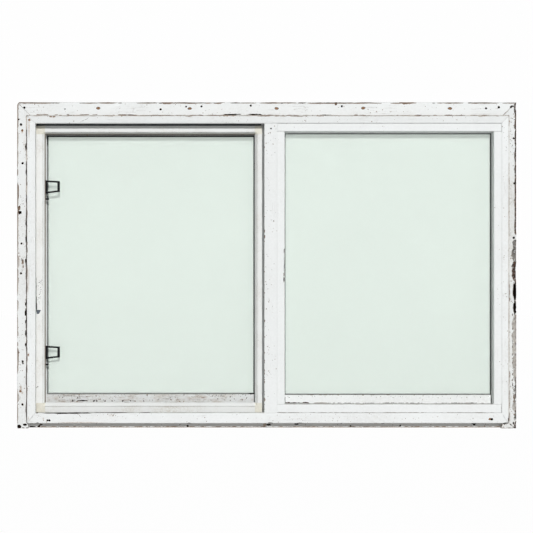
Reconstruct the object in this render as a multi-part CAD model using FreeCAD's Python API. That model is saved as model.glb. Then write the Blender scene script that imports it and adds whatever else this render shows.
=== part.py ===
import FreeCAD, Part
import math
import os
from FreeCAD import Vector

# Horizontal sliding window, all sizes in millimetres.
# X runs to the right, Y into the wall, Z up. Y = 0 is the face of the wall.
# The origin is the bottom middle of the back of the apron.

os.makedirs("parts", exist_ok=True)

# Frame: four mitred members of one section, stretched to the face of each
frame_width = 1442.7
frame_height = 921.0
left_face = 24.8
right_face = 20.9
head_face = 22.5
sill_face = 31.5
face_stands_out = 29.0
face_round = 2.5
lip_thickness = 13.0
outer_track = 32.0
parting_stop = 5.0
inner_track = 24.0
inner_stop = 9.0

# Insets of the frame section as shares of the member's face
channel_share = 0.826
parting_stop_share = 1.565
inner_stop_share = 1.478

# Casing boards round the frame and the apron under the sill
casing_left = 31.7
casing_right = 25.6
casing_top = 42.5
casing_thickness = 20.0
casing_round = 3.0
left_crack = 4.0
right_crack = 3.2
head_crack = 2.2
left_foot = 5.0
right_foot = 18.5
foot_splay = 5.0
foot_gap = 0.8
apron_height = 16.5
apron_thickness = 3.0

# Meeting post between the two lights
vent_opening = 686.0
post_face = 39.0
post_body = 25.0
post_set_back = 1.0
post_fin = 9.0
post_fin_thickness = 5.7
weatherstrip_width = 6.0

# Glazing beads of the fixed light
bead_left = 21.8
bead_right = 23.3
bead_top = 24.0
bead_bottom = 25.5
bead_round = 2.0
bead_gap = 0.6
bead_end_gap = 0.3

# Sashes
sash_thickness = 20.0
sash_ease = 1.5
fixed_left_stile = 36.7
fixed_right_stile = 27.5
fixed_top_rail = 29.0
fixed_bottom_rail = 56.2
vent_lock_stile = 24.5
vent_meeting_stile = 46.5
vent_top_rail = 27.0
vent_bottom_rail = 37.0
vent_overlap = 16.5
vent_head_clearance = 7.0
sash_clearance = 1.0
slide_clearance = 2.0
rest_gap = 0.3

# Glass and its wrap-round gasket
glass_thickness = 4.0
glass_bite = 5.0
gasket_thickness = 10.0
gasket_web = 3.0
fixed_gasket_show = 2.0
vent_gasket_show = 3.0

# Aluminium sill track, nylon glides and the pull on the room side
track_base = 2.0
track_rib = 4.0
track_rib_height = 21.6
glide_groove = 8.0
glide_groove_depth = 14.0
glide_length = 50.0
glide_inset = 90.0
glide_hold = 4.0
pull_width = 10.0
pull_base = 4.0
pull_reach = 15.0
pull_lip = 4.0
pull_height = 160.0

# Insect screen frame in the outer track
screen_thickness = 11.0
screen_set_back = 25.0
screen_member = 27.0
screen_right_member = 21.0
screen_top_member = 25.0
screen_bottom_member = 31.5
screen_bevel = 6.5
screen_top_bevel = 4.5
screen_bottom_bevel = 9.6
screen_edge = 4.0
screen_side_lap = 3.0
screen_head_gap = 4.0
screen_post_gap = 7.0
spline_groove = 1.6
spline_depth = 2.5
stop_reach = 10.0

# Latch loops on the left stile of the screen
loop_height = 40.0
loop_reach = 43.0
loop_top_taper = 2.3
loop_bottom_taper = 5.2
loop_bar = 5.2
loop_end_bar = 7.2
loop_thickness = 3.0
loop_back = 3.0
loop_plate = 13.0
foot_reach = 9.0
foot_height = 5.0
foot_drop = 19.0
upper_loop_top = 747.0
lower_loop_top = 246.0

# Places that follow from the sizes above
overall_width = casing_left + frame_width + casing_right
frame_x0 = casing_left - overall_width / 2
frame_x1 = frame_x0 + frame_width
frame_z0 = apron_height
frame_z1 = frame_z0 + frame_height
casing_z1 = frame_z1 + casing_top

open_x0 = frame_x0 + left_face
open_x1 = frame_x1 - right_face
open_z0 = frame_z0 + sill_face
open_z1 = frame_z1 - head_face

y_face = -face_stands_out
y_lip = y_face + lip_thickness
y_parting = y_lip + outer_track
y_track = y_parting + parting_stop
y_stop = y_track + inner_track
y_back = y_stop + inner_stop
y_front = y_face + post_set_back
y_fixed = y_parting - sash_thickness
y_vent = y_track + slide_clearance
y_vent_back = y_vent + sash_thickness
y_screen = y_face + screen_set_back
y_screen_back = y_screen + screen_thickness

floor_z = frame_z0 + channel_share * sill_face
ceiling_z = frame_z1 - channel_share * head_face
channel_x0 = frame_x0 + channel_share * left_face
channel_x1 = frame_x1 - channel_share * right_face

post_x0 = open_x0 + vent_opening
post_x1 = post_x0 + post_face

OUT = Vector(0, 1, 0)
RIGHT = Vector(1, 0, 0)
UP = Vector(0, 0, 1)


def save(shape, node):
    shape.exportStep("parts/" + node + ".step")


def block(x0, x1, y0, y1, z0, z1):
    """Return a plain box between two corners."""
    return Part.makeBox(x1 - x0, y1 - y0, z1 - z0, Vector(x0, y0, z0))


def outline_face(corners):
    """Return a flat face; a corner is (point, radius) and a radius above 0 rounds it."""
    edges = []
    ends = []
    count = len(corners)
    for number, (point, radius) in enumerate(corners):
        if radius <= 0:
            ends.append((point, None, point))
            continue
        before = (corners[number - 1][0] - point).normalize()
        after = (corners[(number + 1) % count][0] - point).normalize()
        half = before.getAngle(after) / 2
        middle = (before + after).normalize()
        run = radius / math.tan(half)
        top = point + middle * (radius / math.sin(half) - radius)
        ends.append((point + before * run, top, point + after * run))
    for number, (start, top, stop) in enumerate(ends):
        if top is not None:
            edges.append(Part.Arc(start, top, stop).toShape())
        following = ends[(number + 1) % count][0]
        if (following - stop).Length > 1e-6:
            edges.append(Part.makeLine(stop, following))
    return Part.Face(Part.Wire(edges))


def bar(section, start, inward, along):
    """Return a section of (inset, depth, radius) corners carried along one side."""
    corners = [(start + inward * inset + OUT * depth, radius) for inset, depth, radius in section]
    return outline_face(corners).extrude(along)


def upright(section, z0, z1):
    """Return a section of (x, y, radius) corners carried from z0 up to z1."""
    return bar(section, Vector(0, 0, z0), RIGHT, UP * (z1 - z0))


def board(outline, y0, y1):
    """Return an outline of (x, z) corners carried from y0 back to y1."""
    return outline_face([(Vector(x, y0, z), 0) for x, z in outline]).extrude(OUT * (y1 - y0))


def frame_section(face):
    """Return the corners of the frame section, stretched to a member's face."""
    corners = [
        (0, y_face, face_round),
        (1, y_face, face_round),
        (1, y_lip, 0),
        (channel_share, y_lip, 0),
        (channel_share, y_parting, 0),
        (parting_stop_share, y_parting, 1),
        (parting_stop_share, y_track, 1),
        (channel_share, y_track, 0),
        (channel_share, y_stop, 0),
        (inner_stop_share, y_stop, 1),
        (inner_stop_share, y_back, face_round),
        (0, y_back, 0),
    ]
    return [(share * face, depth, radius) for share, depth, radius in corners]


def mitred(outer, inner, section, inward):
    """Return a frame member between two outer corners, mitred towards the inner ones."""
    carry = 2.0
    member = bar(section, outer[0], inward, outer[1] - outer[0])
    far = [outer[n] + (inner[n] - outer[n]) * carry for n in (0, 1)]
    shift = OUT * (y_face - 1)
    wedge = [outer[0], outer[1], far[1], far[0]]
    wedge = outline_face([(corner + shift, 0) for corner in wedge])
    return member.common(wedge.extrude(OUT * (y_back - y_face + 2)))


def build_casing():
    """Save the three casing boards, whose feet turn in under the sill, and the apron."""
    left = frame_x0 - left_crack
    right = frame_x1 + right_crack
    under = frame_z1 + head_crack
    edge0 = frame_x0 - casing_left
    edge1 = frame_x1 + casing_right
    drop = casing_z1 - under
    head = [(edge0, casing_z1), (edge1, casing_z1), (edge1 - drop, under), (edge0 + drop, under)]
    step = frame_z0 - foot_gap
    foot0 = [(left, step), (left + left_foot, step), (left + left_foot, 0)]
    foot1 = [(right, step), (right - right_foot, step), (right - right_foot - foot_splay, 0)]
    stand0 = [(edge0, 0), (edge0, casing_z1), (edge0 + drop, under), (left, under)] + foot0
    stand1 = [(edge1, 0), (edge1, casing_z1), (edge1 - drop, under), (right, under)] + foot1
    boards = {"head_casing": head, "left_casing": stand0, "right_casing": stand1}
    for node, outline in boards.items():
        solid = board(outline, -casing_thickness, 0)
        outside = []
        for edge in solid.Edges:
            box = edge.BoundBox
            flat = abs(box.YMax + casing_thickness) < 0.01
            on_top = box.ZMin > casing_z1 - 0.01
            on_side = box.XMax < edge0 + 0.01 or box.XMin > edge1 - 0.01
            if flat and (on_top or on_side):
                outside.append(edge)
        save(solid.makeFillet(casing_round, outside), node)
    end0 = left + left_foot + foot_gap
    end1 = right - right_foot - foot_gap
    apron = [(end0, 0), (end0, frame_z0), (end1, frame_z0), (end1 - foot_splay, 0)]
    save(board(apron, -apron_thickness, 0), "sill_apron")


def build_frame():
    """Save the four mitred frame members."""
    outer = {
        "bl": Vector(frame_x0, 0, frame_z0),
        "br": Vector(frame_x1, 0, frame_z0),
        "tl": Vector(frame_x0, 0, frame_z1),
        "tr": Vector(frame_x1, 0, frame_z1),
    }
    inner = {
        "bl": Vector(open_x0, 0, open_z0),
        "br": Vector(open_x1, 0, open_z0),
        "tl": Vector(open_x0, 0, open_z1),
        "tr": Vector(open_x1, 0, open_z1),
    }
    members = {
        "frame_head": ("tl", "tr", UP * -1, head_face),
        "left_jamb": ("bl", "tl", RIGHT, left_face),
        "right_jamb": ("br", "tr", RIGHT * -1, right_face),
        "frame_sill": ("bl", "br", UP, sill_face),
    }
    for node, (first, second, inward, face) in members.items():
        pair = (outer[first], outer[second])
        aims = (inner[first], inner[second])
        save(mitred(pair, aims, frame_section(face), inward), node)


def build_post():
    """Save the meeting post with its screen fin, and the pile strip behind it."""
    body = post_x0 + post_body
    fin = y_screen_back + rest_gap
    section = [
        (post_x0, y_front, bead_round),
        (post_x1, y_front, bead_round),
        (post_x1, y_fixed, 0),
        (body, y_fixed, 0),
        (body, y_parting, 0),
        (post_x0, y_parting, 0),
        (post_x0, fin + post_fin_thickness, 0),
        (post_x0 - post_fin, fin + post_fin_thickness, 0),
        (post_x0 - post_fin, fin, 0),
        (post_x0, fin, 0),
    ]
    post = upright(section, floor_z, ceiling_z)
    low = block(post_x0 - 1, post_x1 + 1, y_face, y_lip, floor_z - 1, open_z0)
    high = block(post_x0 - 1, post_x1 + 1, y_face, y_lip, open_z1, ceiling_z + 1)
    save(post.cut(low).cut(high), "meeting_post")
    middle = post_x0 + vent_overlap / 4
    half = weatherstrip_width / 2
    low = frame_z0 + parting_stop_share * sill_face + rest_gap
    high = frame_z1 - parting_stop_share * head_face - rest_gap
    strip = block(middle - half, middle + half, y_parting, y_vent - rest_gap, low, high)
    save(strip, "meeting_weatherstrip")


def build_beads():
    """Save the four beads; the top and bottom ones run past the side ones."""
    low = open_z0 + bead_bottom + bead_end_gap
    high = open_z1 - bead_top - bead_end_gap
    width = open_x1 - bead_gap - post_x1

    def section(size):
        return [
            (bead_gap, y_front, 0),
            (size, y_front, bead_round),
            (size, y_fixed, 0),
            (bead_gap, y_fixed, 0),
        ]

    top = Vector(post_x1, 0, open_z1)
    bottom = Vector(post_x1, 0, open_z0)
    left = Vector(post_x1, 0, low)
    right = Vector(open_x1, 0, low)
    save(bar(section(bead_top), top, UP * -1, RIGHT * width), "fixed_top_bead")
    save(bar(section(bead_bottom), bottom, UP, RIGHT * width), "fixed_bottom_bead")
    save(bar(section(bead_left), left, RIGHT, UP * (high - low)), "fixed_left_bead")
    save(bar(section(bead_right), right, RIGHT * -1, UP * (high - low)), "fixed_right_bead")


def build_sash(nodes, x0, x1, z0, z1, widths, y0, show, groove):
    """Save one sash: two stiles, two rails, the glass and its gasket."""
    left, right, top, bottom = widths
    y1 = y0 + sash_thickness
    slot0 = y0 + (sash_thickness - gasket_thickness) / 2
    slot1 = slot0 + gasket_thickness
    depth = glass_bite + gasket_web

    def section(size, grooved):
        corners = [(0, y0, 0), (size, y0, sash_ease), (size, slot0, 0), (size - depth, slot0, 0)]
        corners += [(size - depth, slot1, 0), (size, slot1, 0), (size, y1, sash_ease), (0, y1, 0)]
        if grooved:
            middle = (y0 + y1) / 2
            half = glide_groove / 2
            corners += [(0, middle + half, 0), (glide_groove_depth, middle + half, 0)]
            corners += [(glide_groove_depth, middle - half, 0), (0, middle - half, 0)]
        return corners

    height = UP * (z1 - z0)
    in0 = x0 + left
    in1 = x1 - right
    span = RIGHT * (in1 - in0)
    stile0 = bar(section(left, False), Vector(x0, 0, z0), RIGHT, height)
    stile1 = bar(section(right, False), Vector(x1, 0, z0), RIGHT * -1, height)
    if groove:
        half = glide_groove / 2
        middle = (y0 + y1) / 2
        way = block(x0 - 1, x1 + 1, middle - half, middle + half, z0 - 1, z0 + glide_groove_depth)
        stile0 = stile0.cut(way)
        stile1 = stile1.cut(way)
    save(stile0, nodes + "_left_stile")
    save(stile1, nodes + "_right_stile")
    save(bar(section(top, False), Vector(in0, 0, z1), UP * -1, span), nodes + "_top_rail")
    save(bar(section(bottom, groove), Vector(in0, 0, z0), UP, span), nodes + "_bottom_rail")

    def sheet(grow, back, front):
        return block(in0 - grow, in1 + grow, back, front, z0 + bottom - grow, z1 - top + grow)

    pane0 = (y0 + y1 - glass_thickness) / 2
    pane1 = pane0 + glass_thickness
    glass = sheet(glass_bite, pane0, pane1)
    ring = sheet(depth, slot0, slot1).cut(sheet(-show, slot0 - 1, slot1 + 1))
    save(glass, nodes + "_glass")
    save(ring.cut(glass), nodes + "_gasket")


def build_track(vent_x0, vent_x1, vent_z0):
    """Save the sill track, the two glides that ride on it and the pull."""
    y_mid = y_vent + sash_thickness / 2
    rib0 = y_mid - track_rib / 2
    x0 = channel_x0 + sash_clearance
    x1 = channel_x1 - sash_clearance
    base = block(x0, x1, y_track, y_stop, floor_z, floor_z + track_base)
    rib = block(x0, x1, rib0, rib0 + track_rib, floor_z, floor_z + track_rib_height)
    save(base.fuse(rib).removeSplitter(), "sill_track")
    low = floor_z + track_rib_height + rest_gap
    high = vent_z0 + glide_groove_depth
    half = glide_groove / 2
    shoes = []
    for start in (vent_x0 + glide_inset, vent_x1 - glide_inset - glide_length):
        shoe = block(start, start + glide_length, y_mid - half, y_mid + half, low, high)
        ends = [edge for edge in shoe.Edges if edge.BoundBox.ZMax < low + 0.01
                and edge.BoundBox.XLength < 0.01]
        shoes.append(shoe.makeFillet(3, ends))
    save(Part.makeCompound(shoes), "sash_glides")
    x0 = frame_x0 + inner_stop_share * left_face + sash_clearance
    y0 = y_vent_back
    section = [
        (x0, y0, 0),
        (x0 + pull_width, y0, 0),
        (x0 + pull_width, y0 + pull_base, 1),
        (x0 + pull_lip, y0 + pull_base, 1),
        (x0 + pull_lip, y0 + pull_reach, 1.5),
        (x0, y0 + pull_reach, 1.5),
    ]
    middle = (open_z0 + open_z1) / 2
    save(upright(section, middle - pull_height / 2, middle + pull_height / 2), "sash_pull")


def screen_section(size, bevel, grooved):
    """Return the corners of one screen member, measured from its outer edge."""
    back = y_screen_back - screen_edge
    corners = [(0, y_screen, 0)]
    if grooved:
        cut0 = size - bevel - spline_groove
        corners += [(cut0, y_screen, 0), (cut0, y_screen + spline_depth, 0)]
        corners += [(cut0 + spline_groove, y_screen + spline_depth, 0)]
    corners += [(size - bevel, y_screen, 0), (size, back, 0)]
    corners += [(size, y_screen_back, 0), (0, y_screen_back, 0)]
    return corners


def build_screen():
    """Save the screen frame: four members and four corner blocks."""
    x0 = open_x0 - screen_side_lap
    x1 = post_x0 - screen_post_gap
    z0 = floor_z + rest_gap
    z1 = open_z1 - screen_head_gap
    left = (screen_member, screen_bevel)
    right = (screen_right_member, screen_bevel)
    top = (screen_top_member, screen_top_bevel)
    low = (screen_bottom_member, screen_bottom_bevel)
    in0 = x0 + left[0]
    foot = z0 + low[0]
    span = RIGHT * (x1 - right[0] - in0)
    rise = UP * (z1 - top[0] - foot)
    members = {
        "screen_left_stile": (left, Vector(x0, 0, foot), RIGHT, rise),
        "screen_right_stile": (right, Vector(x1, 0, foot), RIGHT * -1, rise),
        "screen_top_rail": (top, Vector(in0, 0, z1), UP * -1, span),
        "screen_bottom_rail": (low, Vector(in0, 0, z0), UP, span),
    }
    for node, (sizes, start, inward, along) in members.items():
        save(bar(screen_section(*sizes, True), start, inward, along), node)
    corners = {
        "screen_corner_top_left": (x0, RIGHT, left, z1, UP * -1, top),
        "screen_corner_top_right": (x1, RIGHT * -1, right, z1, UP * -1, top),
        "screen_corner_bottom_left": (x0, RIGHT, left, z0, UP, low),
        "screen_corner_bottom_right": (x1, RIGHT * -1, right, z0, UP, low),
    }
    for node, (x, across, stile, z, rises, rail) in corners.items():
        corner = Vector(x, 0, z)
        standing = bar(screen_section(*stile, False), corner, across, rises * rail[0])
        lying = bar(screen_section(*rail, False), corner, rises, across * stile[0])
        save(standing.fuse(lying).removeSplitter(), node)
    return in0


def build_stops():
    """Save the three strips behind the screen in the outer track."""
    y0 = y_screen_back + rest_gap
    x1 = post_x0 - post_fin - sash_clearance
    low = floor_z + stop_reach
    high = ceiling_z - stop_reach
    strips = [
        block(channel_x0, x1, y0, y_parting, floor_z, low),
        block(channel_x0, x1, y0, y_parting, high, ceiling_z),
        block(channel_x0, channel_x0 + stop_reach, y0, y_parting, low + rest_gap, high - rest_gap),
    ]
    save(Part.makeCompound(strips), "screen_stops")


def build_loop(node, x0, top):
    """Save one latch: tapered finger loop, plate behind the stile and a foot."""
    y1 = y_screen_back - (screen_edge - loop_thickness) / 2
    y0 = y1 - loop_thickness
    y2 = y_screen_back + loop_back
    low = top - loop_height
    x1 = x0 + loop_reach
    outer = [(x0, low), (x0, top), (x1, top - loop_top_taper), (x1, low + loop_bottom_taper)]
    rim = [(Vector(x, y0, z), 0 if x == x0 else 2) for x, z in outer]
    in0 = x0 + loop_bar
    in1 = x1 - loop_end_bar
    share0 = loop_bar / loop_reach
    share1 = 1 - loop_end_bar / loop_reach
    hole = [
        (in0, low + loop_bar + loop_bottom_taper * share0),
        (in0, top - loop_bar - loop_top_taper * share0),
        (in1, top - loop_bar - loop_top_taper * share1),
        (in1, low + loop_bar + loop_bottom_taper * share1),
    ]
    rim = outline_face(rim).extrude(OUT * (y1 - y0))
    loop = rim.cut(board(hole, y0 - 1, y1 + 1))
    foot = top - loop_height - foot_drop
    plate = block(x0 - loop_plate, x0, y_screen_back, y2, foot, top)
    spine = block(x0, x0 + loop_bar, y0, y2, low, top)
    toe = block(x0, x0 + foot_reach, y0, y2, foot, foot + foot_height)
    save(loop.fuse([plate, spine, toe]).removeSplitter(), node)


def build_all():
    build_casing()
    build_frame()
    build_post()
    build_beads()
    fixed_x0 = post_x0 + post_body + rest_gap
    fixed_x1 = channel_x1 - sash_clearance
    fixed_z1 = ceiling_z - sash_clearance
    fixed = (fixed_left_stile, fixed_right_stile, fixed_top_rail, fixed_bottom_rail)
    show = fixed_gasket_show
    build_sash("fixed", fixed_x0, fixed_x1, floor_z, fixed_z1, fixed, y_fixed, show, False)
    vent_x0 = channel_x0 + slide_clearance + sash_clearance
    vent_x1 = post_x0 + vent_overlap
    vent_z0 = floor_z + track_rib_height - glide_hold
    vent_z1 = ceiling_z - vent_head_clearance
    vent = (vent_lock_stile, vent_meeting_stile, vent_top_rail, vent_bottom_rail)
    show = vent_gasket_show
    build_sash("vent", vent_x0, vent_x1, vent_z0, vent_z1, vent, y_vent, show, True)
    build_track(vent_x0, vent_x1, vent_z0)
    edge = build_screen()
    build_stops()
    build_loop("upper_latch_loop", edge, upper_loop_top)
    build_loop("lower_latch_loop", edge, lower_loop_top)


build_all()
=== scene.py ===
import math
import random

import bmesh
import bpy
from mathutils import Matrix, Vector, noise


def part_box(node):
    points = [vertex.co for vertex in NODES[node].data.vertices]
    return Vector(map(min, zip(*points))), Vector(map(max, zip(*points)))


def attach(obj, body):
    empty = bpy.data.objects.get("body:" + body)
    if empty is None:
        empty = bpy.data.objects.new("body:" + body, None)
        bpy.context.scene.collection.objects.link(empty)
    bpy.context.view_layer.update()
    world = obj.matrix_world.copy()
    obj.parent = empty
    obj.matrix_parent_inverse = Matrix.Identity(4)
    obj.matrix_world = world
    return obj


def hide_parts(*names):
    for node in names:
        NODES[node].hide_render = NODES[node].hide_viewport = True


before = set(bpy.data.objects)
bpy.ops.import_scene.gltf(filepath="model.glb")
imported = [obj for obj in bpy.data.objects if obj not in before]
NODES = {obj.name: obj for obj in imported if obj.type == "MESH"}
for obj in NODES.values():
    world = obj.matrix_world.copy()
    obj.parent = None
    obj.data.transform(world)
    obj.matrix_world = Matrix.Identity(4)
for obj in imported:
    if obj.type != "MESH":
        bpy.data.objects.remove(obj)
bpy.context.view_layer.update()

bl_info = {
    "name": "Horizontal Sliding Window",
    "version": (1, 0, 0),
    "blender": (4, 5, 0),
    "location": "3D View > Sidebar > Window",
    "description": "Weathers and finishes an old white-painted horizontal sliding window",
    "category": "Add Mesh",
}

MM = 0.001
X, Y, Z = range(3)

# Faces that the marks are cut into, as distances behind the wall's face, in millimetres.
CASING_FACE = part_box("head_casing")[0][1] / MM
FRAME_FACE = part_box("frame_head")[0][1] / MM
POST_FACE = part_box("meeting_post")[0][1] / MM
APRON_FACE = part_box("sill_apron")[0][1] / MM
SASH_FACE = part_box("vent_bottom_rail")[0][1] / MM

# Open joints between the casing boards and the frame, in millimetres.
LEFT_JOINT = 4.0
RIGHT_JOINT = 3.2
HEAD_JOINT = 2.2

# The frame's outer faces are raw wood this far in from each side, behind RAW_BEHIND, in millimetres.
RAW_LEFT = 21
RAW_RIGHT = 18
RAW_TOP = 18
RAW_FOOT = 4
RAW_BEHIND = -25
# Faces that look down this far under the top of the head are coloured near-black: painted shade in the
# channel above the screen.
HEAD_POCKET = 22
# A face looks along an axis where its normal has more than this share of it.
SQUARE_ON = 0.9
# From the left edge of the meeting post's face to the left bead, in millimetres.
POST_SHOWS = 39.0
# Widths of the dark brown strips along the inner edges of the screen members, in millimetres.
DARK_EDGE_STILE = 2.2
DARK_EDGE_RAIL = 2.0

# Screws along the head casing: (x, z), in millimetres. SCREW_OVAL is a hole's height for its width,
# and SCREW_FIT a head's width for its hole's.
CASING_SCREWS = ((-506, 961.5), (-231, 960.5), (29, 961), (290, 962), (550, 961))
SCREW_RADIUS = 6.4
SCREW_SINK = 2.0
SCREW_OVAL = 0.62
SCREW_FIT = 0.92
# Rings of a screw from its shank to the middle of its head: (depth in millimetres, share of the radius).
SCREW_RINGS = ((8.0, 0.30), (1.2, 0.34), (0.0, 0.98), (-0.7, 0.92), (-1.3, 0.55), (-1.4, 0.0))
SCREW_SIDES = 20
# The slot is in the rings above SLOT_FROM, and is SLOT_HALF of the radius to each side.
SLOT_FROM = -1.0
SLOT_HALF = 0.2
SLOT_DEPTH = 0.8

# Old nail holes: (x, z, radius) in millimetres, by the piece they are in.
NAIL_HOLES = {
    "head_casing": (
        (-606, 959, 1.8), (-319, 958.4, 3.0), (-242, 966.5, 2.4), (-196, 967, 3.0), (-48, 969.5, 3.0),
        (225.6, 967.4, 3.2), (658.4, 961.4, 3.2), (697, 964.4, 3.4), (-728, 963.2, 3.4), (733.0, 964.6, 2.8),
    ),
    "left_casing": (
        (-745, 927.8, 2.2), (-738, 912.8, 3.6), (-733, 796.3, 3.4), (-736.5, 555.3, 2.8), (-738, 465.8, 3.0),
        (-733.2, 201.1, 3.4), (-732.3, 195.1, 2.6), (-733.5, 72, 3.2),
    ),
    "right_casing": ((733.0, 964.6, 3.2), (741.6, 871.3, 2.8), (743.5, 736, 2.8), (741.5, 572.4, 3.6)),
    "frame_sill": ((-656.5, 25.6, 3.0), (-651, 25.4, 3.2), (674, 28.8, 3.6)),
    "meeting_post": ((12.8, 899.3, 2.2),),
    "vent_bottom_rail": (
        (-591, 76.8, 2.4), (-527, 76.6, 2.6), (-517.6, 76.8, 2.4), (-492.6, 76.4, 1.9), (-471, 76.8, 1.8),
        (-439, 76.8, 2.4), (-415, 77.2, 1.8), (-375, 76.8, 1.7),
    ),
    "sill_apron": ((-239, 4.5, 3.4), (253, 5, 2.4), (403, 5.5, 2.6), (626.5, 10, 3.8)),
}
RUSTY_HOLES = {
    "left_casing": ((-734, 895, 3.4), (-740, 111.4, 3.2)),
    "left_jamb": ((-711.6, 925.2, 3.0), (-714.2, 222, 2.4)),
    "frame_sill": ((668.2, 29.4, 3.4),),
}
HOLE_DEPTH = 9.0
HOLE_SIDES = 11
RUST_DEPTH = 1.6
# Holes and cracks are cut from this far in front of a face, and holes leave this much of the back.
OUTSIDE = 1.5
LEAST_BACK = 1.0

# Open cracks: (x0, z0, x1, z1, width) in millimetres. The first ones of a board run along its mitre.
CRACKS = {
    "head_casing": (
        (-749, 979, -710, 940, 1.9), (749, 979, 710, 940, 2.2),
        (-130, 942.8, -76, 943.2, 5.6), (-61, 943.4, -15, 942.8, 5.6), (160, 941.6, 196, 941.2, 2.2),
        (-420, 941.8, -392, 941.4, 2.0),
    ),
    "frame_head": (
        (-717.6, 936.8, -694, 915.4, 1.5), (723.8, 936.8, 704, 915.4, 1.5), (-560, 918, -531, 932, 0.9),
    ),
    "frame_sill": (
        (-717.6, 17.3, -694, 47.4, 2.0), (723.8, 17.3, 704, 47.4, 1.8),
        (-672, 46.8, -522, 47.2, 5.8), (-524, 48.0, -350, 48.2, 2.0), (-692, 47.8, -685, 47.6, 3.4),
    ),
    "right_casing": ((729, 14, 737, 8.5, 3.4), (738, 6, 748, 1.4, 2.0)),
    "fixed_left_bead": ((52.5, 541, 52.1, 444, 2.4),),
    "vent_bottom_rail": ((-578, 77.0, -545, 78.4, 5.2),),
    "fixed_bottom_rail": ((677.4, 66, 677.6, 98, 2.2), (55.8, 66, 55.6, 97, 2.0)),
}
CRACK_DEPTH = 11.0
CRACK_STEPS = 9

# Broken places: (x, z, half width, half height, depth, finish) in millimetres; finish is a number in CUTS.
# The second finish is near-black: painted shade inside holes, cracks, dark chips and deep gouges.
CUTS = ("bare_wood", "hole_painted_shade", "rotten_wood", "weathered_wood", "screw_rust", "silvered_wood")
BARE, DARK, ROTTEN, WEATHERED, RUSTED = range(5)
GOUGES = {
    "left_casing": (
        (-743, 662, 3.6, 7.0, 4.0, 0), (-741.5, 648, 4.6, 5.4, 7.0, 1), (-748, 652, 3.0, 16.0, 6.0, 0),
        (-744, 6.0, 7.0, 5.0, 6.0, 1), (-726, 11.0, 6.4, 3.4, 6.0, 1), (-752, 982, 7.5, 8.0, 60.0, 0),
        (-732.4, 500, 2.6, 6.5, 1.4, 0), (-735.5, 506, 1.6, 4.0, 1.2, 3), (-731.5, 486, 1.4, 5.0, 1.2, 0),
        (-722.4, 845, 2.6, 12.0, 6.0, 1), (-722.2, 770, 2.0, 9.0, 5.0, 1), (-722.4, 616, 2.2, 8.0, 5.0, 1),
        (-722.2, 568, 2.4, 10.0, 6.0, 1), (-722.4, 503, 3.0, 7.0, 6.0, 1), (-722.6, 374, 3.0, 6.0, 6.0, 1),
        (-722.6, 347, 3.6, 13.0, 7.0, 1), (-722.4, 321, 3.4, 6.0, 6.0, 1), (-722.6, 286, 3.4, 10.0, 6.0, 1),
        (-722.4, 252, 3.0, 6.0, 6.0, 1),
    ),
    "sill_apron": (
        (-687.8, 3.4, 4.0, 3.6, 1.4, 1), (-683, 9, 5.0, 3.0, 1.2, 2), (-708, 1.4, 11.0, 2.6, 1.6, 1),
        (6, 8, 7.0, 2.8, 1.4, 1), (90, 10.5, 6.5, 2.8, 1.4, 1), (225, 15, 6.0, 3.0, 1.2, 2),
        (350, 14, 6.0, 3.0, 1.2, 2), (626.5, 12, 7.0, 3.6, 1.4, 1),
    ),
    "head_casing": (
        (208, 976, 4.0, 6.0, 5.0, 0), (736, 967.4, 4.6, 2.6, 4.0, 2), (-300, 979, 16.0, 5.0, 4.0, 0),
        (420, 979, 22.0, 5.0, 4.0, 0), (-752, 982, 7.5, 8.0, 60.0, 0),
    ),
    "frame_head": ((-646.6, 936.0, 4.2, 3.0, 1.4, 0), (-637.4, 935.8, 4.2, 3.2, 1.4, 0)),
    "frame_sill": (
        (-686.4, 16.6, 4.0, 2.6, 5.0, 1), (716, 17.0, 7.0, 2.4, 4.0, 2), (12, 16.4, 8.0, 2.4, 4.0, 1),
        (-232, 16.4, 5.0, 2.0, 4.0, 2), (100, 16.4, 7.0, 2.4, 4.0, 1),
    ),
    "right_jamb": ((724.6, 28, 2.4, 8.0, 4.0, 2),),
    "right_casing": (
        (750, 966, 5.0, 16, 8.0, 2), (737, 967, 4.6, 2.6, 4.0, 2), (750, 548, 11.5, 17, 5.0, 3),
        (750, 520, 14.0, 26, 6.0, 3), (750, 482, 15.5, 19, 9.0, 2), (750, 458, 15.0, 21, 10.0, 2),
        (744.6, 411.5, 5.2, 26.5, 13.0, 1), (745.2, 361.5, 4.8, 22.0, 13.0, 1), (750, 314, 12.0, 27, 1.8, 5),
        (750, 278, 12.5, 28, 1.8, 5), (750, 238, 12.0, 28, 1.8, 5), (750, 198, 11.5, 28, 1.8, 5),
        (750, 163, 9.5, 24, 1.8, 5), (750, 110, 5.0, 24, 2.0, 3), (746.0, 64, 8.0, 13, 2.2, 5),
        (750, 38, 5.0, 16, 2.4, 3), (713.4, 14.6, 3.4, 3.2, 5.0, 1), (741, 16, 2.2, 3.8, 4.0, 1),
        (750, 9, 6.0, 15, 7.0, 2),
    ),
    "meeting_post": (
        (-7.5, 592, 3.0, 5.0, 3.0, 0), (-7.5, 575, 2.6, 6.0, 3.0, 0), (-7.5, 88, 3.0, 6.0, 3.0, 0),
    ),
    "fixed_left_bead": (
        (52.8, 533, 1.7, 8.0, 5.0, 2), (51.6, 447, 2.2, 8.0, 5.0, 2), (51.8, 462, 1.6, 5.0, 4.0, 0),
    ),
    "fixed_bottom_rail": (
        (64, 74.6, 7.0, 2.6, 2.4, 2), (84, 74, 14.0, 2.4, 2.2, 2), (118, 74.4, 9.0, 2.6, 2.2, 2),
        (165, 73.6, 22.0, 1.8, 1.6, 0), (570, 74, 6.0, 1.6, 1.6, 2), (605, 74, 5.0, 1.5, 1.6, 0),
    ),
}

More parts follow.
